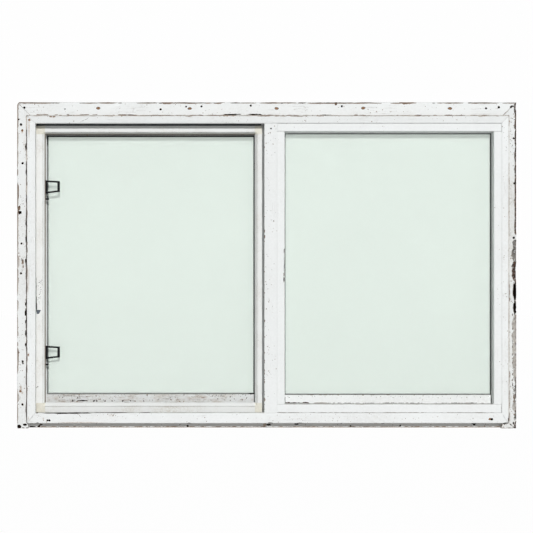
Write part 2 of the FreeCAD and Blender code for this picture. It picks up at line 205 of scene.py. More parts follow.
# Where the screen was pried out: grooves as in CRACKS, the outline of a torn tab as (x, z),
# and scuffs as in SPECKS, in millimetres. Their finish is a number in PRIED_CUTS.
PRIED_CUTS = ("hole_painted_shade", "pried_metal_and_shade", "weathered_wood")
PRIED_GROOVES = ((-696.2, 454, -695.6, 396, 2.6), (-696.4, 404, -695.0, 347, 6.4))
PRIED_DEPTH = 6.0
# The torn tab's hollow is coloured bluish dark grey: torn metal with painted shade.
TORN_TAB = ((-696.4, 355.5), (-681.8, 354.8), (-687.6, 343.4), (-694.6, 342.8))
TORN_DEPTH = 1.8
PRIED_SCUFFS = (
    (-693, -681, 372, 448, 26, 0.5, 1.6, 2), (-680, -678, 425, 452, 4, 0.6, 1.6, 2),
    (-695, -689, 119, 135, 6, 0.7, 1.4, 2), (-694.5, -692.5, 200, 203, 1, 0.9, 1.3, 2),
)

# Patches of small specks: (x0, x1, z0, z1, how many, smallest and largest radius, finish), in millimetres.
SPECK_DEPTH = 0.6
SPECKS = {
    "right_casing": (
        (730, 742, 840, 905, 15, 0.7, 1.5, 3), (729, 747, 915, 945, 8, 0.8, 1.7, 3),
        (731, 746, 560, 840, 26, 0.6, 1.3, 3), (731, 744, 30, 330, 20, 0.7, 1.4, 0),
        (739, 748, 120, 335, 40, 0.7, 1.8, 2), (742, 748, 30, 120, 26, 0.8, 2.2, 2),
        (740, 748, 30, 120, 20, 0.8, 2.2, 3), (738, 748, 340, 440, 14, 0.8, 1.8, 3),
    ),
    "right_jamb": ((707, 723, 830, 905, 9, 0.6, 1.1, 3), (708, 722, 60, 800, 14, 0.5, 1.0, 0)),
    "left_casing": (
        (-748, -724, 30, 930, 60, 0.5, 1.2, 0), (-748, -738, 40, 200, 14, 0.6, 1.4, 2),
        (-740, -730, 668, 700, 16, 0.5, 1.4, 3), (-738, -728, 470, 520, 12, 0.5, 1.2, 0),
    ),
    "left_jamb": ((-716, -696, 60, 930, 26, 0.5, 1.0, 0),),
    "head_casing": ((-700, 700, 945, 976, 60, 0.5, 1.2, 0),),
    "frame_head": ((-690, 690, 917, 936, 30, 0.5, 1.0, 0),),
    "frame_sill": (
        (-690, 690, 20, 46, 70, 0.5, 1.2, 0), (-478, -452, 38, 45, 8, 0.8, 1.6, 0),
        (-566, -558, 36, 44, 5, 0.6, 1.2, 0),
    ),
    "meeting_post": ((-4, 28, 90, 900, 46, 0.6, 1.3, 3),),
    "vent_bottom_rail": (
        (-655, -45, 76, 106, 60, 0.6, 1.6, 0), (-655, -45, 76, 106, 60, 0.6, 2.0, 3),
        (-180, -45, 78, 106, 44, 0.8, 2.4, 3), (-655, -560, 84, 106, 16, 0.8, 2.2, 3),
    ),
    "sill_apron": ((-700, 690, 2, 14, 18, 0.6, 1.4, 2),),
    "fixed_bottom_rail": ((58, 670, 88, 96, 40, 0.6, 1.3, 3),),
}

# Rust weeping and brown smudges: (x, z, half width, half height, strength), in millimetres.
STAINS = (
    (-710.3, 924.6, 5.0, 4.6, 0.95), (-711.8, 900, 3.8, 40, 0.5), (-714, 31, 3.2, 9, 0.4),
    (-669, 30, 3.4, 6, 0.4), (-659.5, 21.5, 2.2, 7, 0.6), (-738.5, 120, 4.5, 12, 0.7),
    (-734, 107, 4.5, 5, 0.6), (-560, 19, 95, 2.6, 0.5), (-6, 8, 6.5, 9, 0.95),
    (-734, 892, 5, 8, 0.5), (-738, 910, 5.5, 6, 0.4), (726, 640, 4, 60, 0.35),
    (726, 320, 4, 90, 0.3), (-744, 505, 5, 26, 0.3), (-733, 498, 5, 12, 0.55),
    (-714, 443, 4, 50, 0.3), (-714.2, 222, 4.6, 8, 0.6), (-728, 850, 4, 30, 0.2),
    (-690, 938, 18, 3.6, 0.5), (-562, 939, 34, 4.0, 0.5), (-470, 938, 26, 3.8, 0.55),
    (-640, 934, 12, 5.0, 0.3), (-380, 938, 46, 3.4, 0.4), (430, 938, 40, 3.2, 0.35),
    (-466, 41, 12, 5.0, 0.25),
)

# Lengths of the joints that old paint still fills: (start, stop, recess), in millimetres along the joint.
FILLED_HEAD = (
    (-718, -697, 0.1), (-634, -618, 0.4), (-586, -576, 0.5), (-469, -426, 0.3), (-398, -393, 0.5),
    (-372, -366, 0.5), (393, 409, 0.4), (426, 460, 0.4), (495, 541, 0.4), (690, 727, 0.1), (-718, 724, 1.5),
)
FILLED_LEFT = ((897, 938, 0.4), (800, 840, 1.6), (700, 730, 1.6))
FILLED_RIGHT = ((34, 780, 0.9), (780, 938, 0.1))
# A run with no more recess than this is flush with the boards.
FLUSH = 0.2
FILLER_STEP = 5.0
FILLER_BACK = 8.0
# Both ends of a run sink by this much more.
FILLER_END = 3.0

# Least angles, in degrees, at which a piece's faces meet in a sharp edge: on boards, then on small lumps.
BOARD_SHARP = 28.0
LUMP_SHARP = 40.0

# How the wood's grain is drawn out: it runs along the axis with the smallest number.
GRAIN = {"across": (1.0, 24.0, 24.0), "upright": (24.0, 24.0, 1.0)}

# Dirt on the screen's enamel, and the metal where it is scuffed.
ENAMEL_DIRT = (0.50, 0.445, 0.37)
ENAMEL_SCUFF = (0.30, 0.27, 0.235)

# The two lamps behind the window: how wide and how high they are, and how far each is turned from the front.
BACK_SPREAD = math.radians(20.0)
BACK_HEIGHT = math.radians(18.0)
BACK_LAMPS = {"back_right": math.radians(130.0), "back_left": math.radians(-130.0)}

# Camera, surroundings and floor.
SENSOR_WIDTH = 36.0
CAMERA_SIDE = -0.00075
SEEN_WHITE = (0.992, 0.992, 0.992, 1.0)
FILL_TINT = (0.88, 0.95, 1.0, 1.0)
FLOOR_REACH = 40.0
FLOOR_GREY = (0.55, 0.55, 0.55, 1.0)
FLOOR_GLOW = 1.015
FLOOR_GLOW_SHARE = 0.965


class SlidingWindowFinish(bpy.types.PropertyGroup):
    """Colours of the window's finishes and how worn they are."""

    paint: bpy.props.FloatVectorProperty(
        name="Paint", description="White house paint on the wood", subtype="COLOR",
        size=3, min=0.0, max=1.0, default=(0.86, 0.875, 0.866))
    paint_soiled: bpy.props.FloatVectorProperty(
        name="Soiled Paint", description="Paint where dirt has stained it", subtype="COLOR",
        size=3, min=0.0, max=1.0, default=(0.56, 0.54, 0.50))
    wood_pale: bpy.props.FloatVectorProperty(
        name="Bare Wood", description="Early wood where the paint has gone", subtype="COLOR",
        size=3, min=0.0, max=1.0, default=(0.36, 0.262, 0.19))
    wood_dark: bpy.props.FloatVectorProperty(
        name="Bare Wood Grain", description="Late wood lines where the paint has gone", subtype="COLOR",
        size=3, min=0.0, max=1.0, default=(0.125, 0.076, 0.048))
    rot: bpy.props.FloatVectorProperty(
        name="Rotten Wood", description="Soft decayed wood at the casing's edge", subtype="COLOR",
        size=3, min=0.0, max=1.0, default=(0.042, 0.0225, 0.0145))
    stain: bpy.props.FloatVectorProperty(
        name="Rust Stain", description="Paint browned by rust and damp", subtype="COLOR",
        size=3, min=0.0, max=1.0, default=(0.36, 0.23, 0.14))
    rust: bpy.props.FloatVectorProperty(
        name="Rust", description="Rusted screw heads", subtype="COLOR",
        size=3, min=0.0, max=1.0, default=(0.27, 0.145, 0.075))
    screen: bpy.props.FloatVectorProperty(
        name="Screen Enamel", description="Baked white enamel of the screen frame", subtype="COLOR",
        size=3, min=0.0, max=1.0, default=(0.80, 0.81, 0.795))
    corner: bpy.props.FloatVectorProperty(
        name="Corner Plastic", description="Yellowed plastic of the screen corners", subtype="COLOR",
        size=3, min=0.0, max=1.0, default=(0.785, 0.762, 0.668))
    latch: bpy.props.FloatVectorProperty(
        name="Latch Plastic", description="Black moulded latch loops", subtype="COLOR",
        size=3, min=0.0, max=1.0, default=(0.008, 0.008, 0.009))
    glass: bpy.props.FloatVectorProperty(
        name="Glass", description="Pale green of the old panes", subtype="COLOR",
        size=3, min=0.0, max=1.0, default=(0.845, 0.918, 0.862))
    chips: bpy.props.FloatProperty(
        name="Chipped Edges", description="How many chips break the painted edges",
        subtype="FACTOR", min=0.0, max=1.0, default=1.0)


class SlidingWindowStage(bpy.types.PropertyGroup):
    """Camera, light and floor."""

    camera_distance: bpy.props.FloatProperty(
        name="Camera Distance", description="From the casing's face to the camera",
        unit="LENGTH", default=3.0, min=0.5)
    camera_height: bpy.props.FloatProperty(
        name="Camera Height", description="Above the bottom of the apron",
        unit="LENGTH", default=0.4862)
    view_width: bpy.props.FloatProperty(
        name="View Width", description="Width of the picture at the casing's face",
        unit="LENGTH", default=1.6006, min=0.1)
    key_height: bpy.props.FloatProperty(
        name="Key Height", description="Angle of the key light above the horizon",
        subtype="ANGLE", default=math.radians(28.0))
    key_side: bpy.props.FloatProperty(
        name="Key Side", description="Angle of the key light towards the right",
        subtype="ANGLE", default=math.radians(11.5))
    key_spread: bpy.props.FloatProperty(
        name="Key Spread", description="Angle that the key light fills, which softens its shadows",
        subtype="ANGLE", default=math.radians(3.4))
    key_strength: bpy.props.FloatProperty(
        name="Key Strength", description="Strength of the key light", default=2.65, min=0.0)
    fill: bpy.props.FloatProperty(
        name="Fill", description="Even light from all round", default=0.122, min=0.0)
    back_strength: bpy.props.FloatProperty(
        name="Back Strength", description="Strength of each of the two lamps behind the window",
        default=1.2, min=0.0)
    floor_drop: bpy.props.FloatProperty(
        name="Floor Drop", description="From the bottom of the apron down to the floor",
        unit="LENGTH", default=1.6, min=0.0)


def add(tree, kind, inputs=None, **settings):
    """Add a shader node; each input is a value or another node's output."""
    node = tree.nodes.new(kind)
    for key, value in settings.items():
        setattr(node, key, value)
    for key, value in (inputs or {}).items():
        if isinstance(value, bpy.types.NodeSocket):
            tree.links.new(value, node.inputs[key])
        else:
            node.inputs[key].default_value = value
    return node


def maths(tree, operation, first, second=0.0):
    """One maths node, clamped to 0 to 1."""
    return add(tree, "ShaderNodeMath", {0: first, 1: second}, operation=operation, use_clamp=True).outputs[0]


def times(tree, first, second):
    """Two values multiplied."""
    return maths(tree, "MULTIPLY", first, second)


def larger(tree, first, second):
    """The larger of two values."""
    return maths(tree, "MAXIMUM", first, second)


def blend(tree, factor, first, second):
    """Mix two colours."""
    return add(tree, "ShaderNodeMix", {0: factor, 6: first, 7: second}, data_type="RGBA").outputs[2]


def between(tree, value, low, high, start=0.0, stop=1.0):
    """Smooth step of a value from low to high, put out as start to stop."""
    return add(tree, "ShaderNodeMapRange", {0: value, 1: low, 2: high, 3: start, 4: stop},
               interpolation_type="SMOOTHSTEP").outputs[0]


def speckle(tree, vector, scale, detail=4.0, roughness=0.6, distortion=0.0):
    """Noise value at a scale in cycles a metre."""
    return add(tree, "ShaderNodeTexNoise", {
        "Vector": vector, "Scale": scale, "Detail": detail,
        "Roughness": roughness, "Distortion": distortion}).outputs["Fac"]


def stretched(tree, vector, scale):
    """A vector scaled by axis, so that marks run along the axis with the smallest number."""
    return add(tree, "ShaderNodeMapping", {"Vector": vector, "Scale": scale}).outputs[0]


def height_of(tree, vector):
    """The upward part of a vector."""
    return add(tree, "ShaderNodeSeparateXYZ", {0: vector}).outputs["Z"]


def facing_up(tree):
    """How far a face is turned upwards."""
    return height_of(tree, add(tree, "ShaderNodeNewGeometry").outputs["Normal"])


def rgba(colour, scale=1.0):
    """A colour with alpha, made lighter or darker."""
    return (*(min(1.0, part * scale) for part in colour[:3]), 1.0)


def new_group(name, inputs, outputs):
    """An empty shader group; returns its tree and its two ends.

    Inputs are names with their first values, None for a vector, and outputs are names of values.
    """
    tree = bpy.data.node_groups.new(name, "ShaderNodeTree")
    for label, value in inputs.items():
        kind = "NodeSocketVector" if value is None else "NodeSocketFloat"
        socket = tree.interface.new_socket(label, in_out="INPUT", socket_type=kind)
        if value is not None:
            socket.default_value = value
    for label in outputs:
        tree.interface.new_socket(label, in_out="OUTPUT", socket_type="NodeSocketFloat")
    return tree, tree.nodes.new("NodeGroupInput"), tree.nodes.new("NodeGroupOutput")


def group_node(tree, name, inputs):
    """Use a shader group in a material."""
    return add(tree, "ShaderNodeGroup", inputs, node_tree=bpy.data.node_groups[name]).outputs


def make_grain_group():
    """Lines of late wood, drawn out along the board."""
    tree, start, end = new_group("wood_grain", {"Vector": None}, ("Figure", "Pores"))
    vector = start.outputs["Vector"]
    bands = speckle(tree, vector, 9.0, 3.0, 0.55, 0.6)
    lines = between(tree, speckle(tree, vector, 34.0, 5.0, 0.7, 0.3), 0.36, 0.66)
    figure = maths(tree, "ADD", times(tree, lines, 0.6), times(tree, bands, 0.5))
    pores = between(tree, speckle(tree, vector, 90.0, 2.0, 0.5), 0.60, 0.72)
    tree.links.new(figure, end.inputs["Figure"])
    tree.links.new(pores, end.inputs["Pores"])


def make_edge_group():
    """Paint rubbed off sharp edges in broken runs, and the dirty line along them."""
    inputs = {"Vector": None, "Reach": 0.003, "Amount": 0.5}
    tree, start, end = new_group("edge_wear", inputs, ("Bare", "Line"))
    bevel = add(tree, "ShaderNodeBevel", {"Radius": start.outputs["Reach"]}, samples=6)
    normal = add(tree, "ShaderNodeNewGeometry").outputs["Normal"]
    facing = add(tree, "ShaderNodeVectorMath", {0: bevel.outputs[0], 1: normal}, operation="DOT_PRODUCT")
    edge = between(tree, facing.outputs["Value"], 0.995, 0.80)
    broken = speckle(tree, start.outputs["Vector"], 22.0, 6.0, 0.68)
    level = maths(tree, "SUBTRACT", 1.06, start.outputs["Amount"])
    soft = maths(tree, "ADD", level, 0.12)
    bare = times(tree, edge, between(tree, broken, level, soft))
    line = between(tree, facing.outputs["Value"], 0.95, 0.78)
    thin = between(tree, speckle(tree, start.outputs["Vector"], 9.0, 4.0), 0.34, 0.58)
    tree.links.new(bare, end.inputs["Bare"])
    tree.links.new(times(tree, line, thin), end.inputs["Line"])


def make_hairline_group():
    """Fine splits in old paint that follow the grain."""
    inputs = {"Vector": None, "Position": None, "Amount": 0.5}
    tree, start, end = new_group("hairlines", inputs, ("Split",))
    wave = speckle(tree, start.outputs["Vector"], 7.0, 4.0, 0.55, 0.4)
    thin = add(tree, "ShaderNodeMath", {0: wave, 1: 0.5, 2: 0.011}, operation="COMPARE").outputs[0]
    where = between(tree, speckle(tree, start.outputs["Position"], 13.0, 4.0), 0.50, 0.64)
    split = times(tree, times(tree, thin, where), start.outputs["Amount"])
    tree.links.new(split, end.inputs["Split"])


def make_ledge_group():
    """Dirt that lies on faces turned upwards."""
    tree, start, end = new_group("ledge_dirt", {"Vector": None, "Amount": 0.7}, ("Dirt",))
    lying = between(tree, facing_up(tree), 0.45, 0.85)
    thick = between(tree, speckle(tree, start.outputs["Vector"], 28.0, 5.0, 0.65), 0.25, 0.70, 0.45, 1.0)
    dirt = times(tree, times(tree, lying, thick), start.outputs["Amount"])
    tree.links.new(dirt, end.inputs["Dirt"])


def make_grime_group():
    """Dirt in drifts, with finer mottling inside them."""
    tree, start, end = new_group("grime", {"Vector": None, "Scale": 6.0, "Amount": 0.5}, ("Soil",))
    vector = start.outputs["Vector"]
    drift = between(tree, speckle(tree, vector, start.outputs["Scale"], 4.0, 0.6), 0.40, 0.70)
    fine = between(tree, speckle(tree, vector, 160.0, 5.0, 0.7), 0.30, 0.75)
    soil = times(tree, times(tree, drift, fine), start.outputs["Amount"])
    tree.links.new(soil, end.inputs["Soil"])


def make_fleck_group():
    """Small scattered spots where the finish is knocked off."""
    tree, start, end = new_group("flecks", {"Vector": None, "Scale": 60.0, "Spread": 0.12}, ("Spot",))
    vector = start.outputs["Vector"]
    inputs = {"Vector": vector, "Scale": 330.0, "Detail": 3.0}
    torn = add(tree, "ShaderNodeTexNoise", inputs).outputs["Color"]
    pulled = add(tree, "ShaderNodeVectorMath", {0: torn, 3: 0.005}, operation="SCALE").outputs[0]
    bent = add(tree, "ShaderNodeVectorMath", {0: vector, 1: pulled}, operation="ADD").outputs[0]
    cells = add(tree, "ShaderNodeTexVoronoi", {
        "Vector": bent, "Scale": start.outputs["Scale"], "Randomness": 1.0})
    apart = between(tree, speckle(tree, vector, 14.0, 3.0), 0.50, 0.60)
    inner = times(tree, start.outputs["Spread"], 0.75)
    near = between(tree, cells.outputs["Distance"], start.outputs["Spread"], inner)
    tree.links.new(times(tree, near, apart), end.inputs["Spot"])


def make_stain_group():
    """Brown weeping at the places in STAINS."""
    tree, start, end = new_group("stains", {"Position": None}, ("Stain",))
    position = start.outputs["Position"]
    ragged = between(tree, speckle(tree, position, 170.0, 4.0), 0.34, 0.62, 0.5, 1.0)
    total = 0.0
    for x, z, half_width, half_height, strength in STAINS:
        placed = add(tree, "ShaderNodeMapping", {
            "Vector": position,
            "Location": (-x / half_width, 0.0, -z / half_height),
            "Scale": (1.0 / (half_width * MM), 0.0, 1.0 / (half_height * MM))})
        reach = add(tree, "ShaderNodeVectorMath", {0: placed.outputs[0]}, operation="LENGTH").outputs["Value"]
        total = larger(tree, total, between(tree, reach, 1.0, 0.35, 0.0, strength))
    tree.links.new(times(tree, total, ragged), end.inputs["Stain"])


def new_material(name):
    """Start a material; returns its tree, its shader and the position in object space."""
    material = bpy.data.materials.new(name)
    material.use_nodes = True
    tree = material.node_tree
    return tree, tree.nodes["Principled BSDF"], add(tree, "ShaderNodeTexCoord").outputs["Object"]


def coat(tree, shader, colour, rough):
    """Join a colour and a roughness to the shader."""
    tree.links.new(colour, shader.inputs["Base Color"])
    tree.links.new(rough, shader.inputs["Roughness"])


def relief(tree, shader, height, strength, distance):
    """Join a height to the shader's normal."""
    inputs = {"Height": height, "Strength": strength, "Distance": distance}
    tree.links.new(add(tree, "ShaderNodeBump", inputs).outputs[0], shader.inputs["Normal"])


def painted_wood(name, run, chips, soil, flecks, shade=1.0, reach=0.0035, splits=0.3, line=0.55,
                 bare_and_shaded_foot=0.0, drifts=5.0, thin=0.0):
    """Old white paint on wood, bare along its edges; run says which way the grain goes.

    Below the given foot height, in metres, the paint has gone to dark bare wood, which also stands in for
    shade under a sill nose; drifts sets how small the dirty patches are, and thin how far the wood's brown
    shows through between them.
    """
    finish = bpy.context.scene.sliding_window_finish
    tree, shader, position = new_material(name)
    along = stretched(tree, position, GRAIN[run])
    grain = group_node(tree, "wood_grain", {"Vector": along})
    worn = group_node(tree, "edge_wear", {"Vector": position, "Reach": reach, "Amount": chips})
    dirt = group_node(tree, "grime", {"Vector": position, "Scale": drifts, "Amount": soil})
    spots = group_node(tree, "flecks", {"Vector": position, "Scale": 85.0, "Spread": flecks})
    lines = group_node(tree, "hairlines", {"Vector": along, "Position": position, "Amount": splits})
    ledge = group_node(tree, "ledge_dirt", {"Vector": position, "Amount": 0.85})
    stain = group_node(tree, "stains", {"Position": position})
    wood = blend(tree, grain["Figure"], rgba(finish.wood_dark), rgba(finish.wood_pale))
    wood = blend(tree, grain["Pores"], wood, rgba(finish.wood_dark, 0.6))
    cloud = between(tree, speckle(tree, position, 11.0, 4.0), 0.35, 0.68, 0.0, 0.7)
    mottle = between(tree, speckle(tree, position, 150.0, 3.0), 0.35, 0.68, 0.0, 0.6)
    paint = blend(tree, mottle, rgba(finish.paint, shade), rgba(finish.paint, shade * 0.95))
    figured = times(tree, cloud, grain["Figure"])
    paint = blend(tree, figured, paint, rgba(finish.paint, shade * 0.935))
    soiled = larger(tree, dirt["Soil"], times(tree, worn["Line"], line))
    paint = blend(tree, soiled, paint, rgba(finish.paint_soiled))
    if thin:
        weathered = speckle(tree, stretched(tree, position, (0.35, 1.0, 1.0)), 75.0, 6.0, 0.7)
        through = between(tree, weathered, 0.45, 0.72, 0.0, thin)
        paint = blend(tree, through, paint, rgba(finish.wood_pale))
    paint = blend(tree, ledge["Dirt"], paint, rgba(finish.paint_soiled, 0.62))
    paint = blend(tree, stain["Stain"], paint, rgba(finish.stain))
    paint = blend(tree, lines["Split"], paint, rgba(finish.wood_dark))
    bare = larger(tree, worn["Bare"], times(tree, spots["Spot"], 0.8))
    # Dark bare wood below the foot height: real wear, and painted shade where a sill nose's shadow stops
    # short.
    if bare_and_shaded_foot:
        torn = speckle(tree, position, 55.0, 5.0, 0.7)
        ragged = between(tree, torn, 0.3, 0.7, -0.4 * bare_and_shaded_foot, 0.4 * bare_and_shaded_foot)
        inputs = {0: height_of(tree, position), 1: ragged}
        level = add(tree, "ShaderNodeMath", inputs, operation="ADD").outputs[0]
        bare = larger(tree, bare, between(tree, level, bare_and_shaded_foot, 0.7 * bare_and_shaded_foot))
    dull = between(tree, soiled, 0.0, 1.0, 0.55, 0.72)
    rough = maths(tree, "ADD", dull, times(tree, bare, 0.2))
    coat(tree, shader, blend(tree, bare, paint, wood), rough)
    shader.inputs["Specular IOR Level"].default_value = 0.3
    raised = maths(tree, "ADD", times(tree, grain["Figure"], 0.35), 0.5)
    sunk = larger(tree, times(tree, bare, 0.5), lines["Split"])
    relief(tree, shader, maths(tree, "SUBTRACT", raised, sunk), 0.35, 0.0008)


def bare_wood(name, run, pale, dark, rough=0.85, patchy=0.0, flakes=0.0):
    """Wood that has lost its paint.

    patchy says how much of it has gone dark in blotches, and flakes how much paint still holds in small bits.
    """
    finish = bpy.context.scene.sliding_window_finish
    tree, shader, position = new_material(name)
    grain = group_node(tree, "wood_grain", {"Vector": stretched(tree, position, GRAIN[run])})
    dirt = group_node(tree, "grime", {"Vector": position, "Scale": 14.0, "Amount": 0.8})
    wood = blend(tree, grain["Figure"], rgba(dark), rgba(pale))
    wood = blend(tree, grain["Pores"], wood, rgba(dark, 0.5))
    wood = blend(tree, dirt["Soil"], wood, rgba(dark, 0.8))
    if patchy:
        blotch = between(tree, speckle(tree, position, 130.0, 5.0, 0.6), 0.44, 0.58, 0.0, patchy)
        wood = blend(tree, blotch, wood, rgba(dark, 0.22))
    if flakes:
        held = between(tree, speckle(tree, position, 190.0, 3.0, 0.6), 0.575, 0.61, 0.0, flakes)
        wood = blend(tree, held, wood, rgba(finish.paint, 0.8))
    coat(tree, shader, wood, between(tree, grain["Figure"], 0.0, 1.0, rough, rough - 0.12))
    relief(tree, shader, grain["Figure"], 0.6, 0.0012)


def mottled(name, colour, dark, scale, rough, soil=0.4, metallic=0.0, bump=0.2, gloss=0.5, shaded_from=None):
    """A moulded, rusted or coated surface with mottling and soiling.

    To the right of and above the place given last, (x, z) in metres, its colour turns nearly black: painted
    shade.
    """
    tree, shader, position = new_material(name)
    patch = between(tree, speckle(tree, position, scale, 6.0, 0.65), 0.32, 0.68)
    dirt = group_node(tree, "grime", {"Vector": position, "Scale": scale * 0.2, "Amount": soil})
    tone = blend(tree, patch, rgba(dark), rgba(colour))
    tone = blend(tree, dirt["Soil"], tone, rgba(dark, 0.55))
    # Painted shade: nearly black to the right of and above the given place.
    if shaded_from is not None:
        part_of = add(tree, "ShaderNodeSeparateXYZ", {0: position}).outputs
        right, above = (
            between(tree, part_of[axis], start, start + 0.01) for axis, start in zip("XZ", shaded_from))
        tone = blend(tree, larger(tree, right, above), tone, rgba(dark, 0.1))
    coat(tree, shader, tone, between(tree, patch, 0.0, 1.0, min(1.0, rough + 0.15), rough))
    shader.inputs["Metallic"].default_value = metallic
    shader.inputs["Specular IOR Level"].default_value = gloss
    relief(tree, shader, patch, bump, 0.0005)


def enamel(name, colour, soil, run):
    """Baked enamel on roll-formed sheet, scuffed at its bends and streaked along its run."""
    tree, shader, position = new_material(name)
    streak = speckle(tree, stretched(tree, position, GRAIN[run]), 18.0, 4.0, 0.6)
    worn = group_node(tree, "edge_wear", {"Vector": position, "Reach": 0.0014, "Amount": 0.5})
    dirt = group_node(tree, "grime", {"Vector": position, "Scale": 9.0, "Amount": soil})
    spots = group_node(tree, "flecks", {"Vector": position, "Scale": 70.0, "Spread": 0.09})
    # Dirt falls to a fifth on faces turned up, so they come out lighter: a painted highlight on the upward
    # bevels.
    dirt_with_top_highlight = times(tree, dirt["Soil"], between(tree, facing_up(tree), 0.2, 0.5, 1.0, 0.2))
    tone = blend(tree, streak, rgba(colour, 0.965), rgba(colour, 1.02))
    tone = blend(tree, dirt_with_top_highlight, tone, rgba(ENAMEL_DIRT))
    knocked = times(tree, spots["Spot"], 0.6)
    scuff = larger(tree, times(tree, worn["Bare"], 0.8), knocked)
    scuff = larger(tree, scuff, times(tree, worn["Line"], 0.55))
    dull = between(tree, dirt["Soil"], 0.0, 1.0, 0.45, 0.65)
    coat(tree, shader, blend(tree, scuff, tone, rgba(ENAMEL_SCUFF)), dull)
    shader.inputs["Specular IOR Level"].default_value = 0.35
    relief(tree, shader, streak, 0.08, 0.0004)


def pane_glass(name, colour):
    """Old sheet glass with a film of dust that takes a little shade."""
    tree, shader, position = new_material(name)
    film = group_node(tree, "grime", {"Vector": position, "Scale": 2.2, "Amount": 0.5})
    wave = speckle(tree, position, 3.0, 2.0, 0.5)
    tone = blend(tree, film["Soil"], rgba(colour), rgba(colour, 0.95))
    low = between(tree, height_of(tree, position), 0.60, 0.10, 0.0, 0.5)
    tone = blend(tree, low, tone, rgba(colour, 0.945))
    coat(tree, shader, tone, between(tree, film["Soil"], 0.0, 1.0, 0.02, 0.06))
    shader.inputs["Transmission Weight"].default_value = 0.62
    shader.inputs["IOR"].default_value = 1.45
    relief(tree, shader, wave, 0.05, 0.002)


def brushed(name, colour, run):
    """Mill aluminium with draw marks along its length and dull oxide."""
    tree, shader, position = new_material(name)
    marks = speckle(tree, stretched(tree, position, GRAIN[run]), 60.0, 3.0, 0.6)
    dirt = group_node(tree, "grime", {"Vector": position, "Scale": 12.0, "Amount": 0.7})
    tone = blend(tree, marks, rgba(colour, 0.8), rgba(colour, 1.1))
    tone = blend(tree, dirt["Soil"], tone, rgba(colour, 0.45))
    coat(tree, shader, tone, between(tree, marks, 0.0, 1.0, 0.48, 0.34))
    shader.inputs["Metallic"].default_value = 0.85
    relief(tree, shader, marks, 0.15, 0.0003)


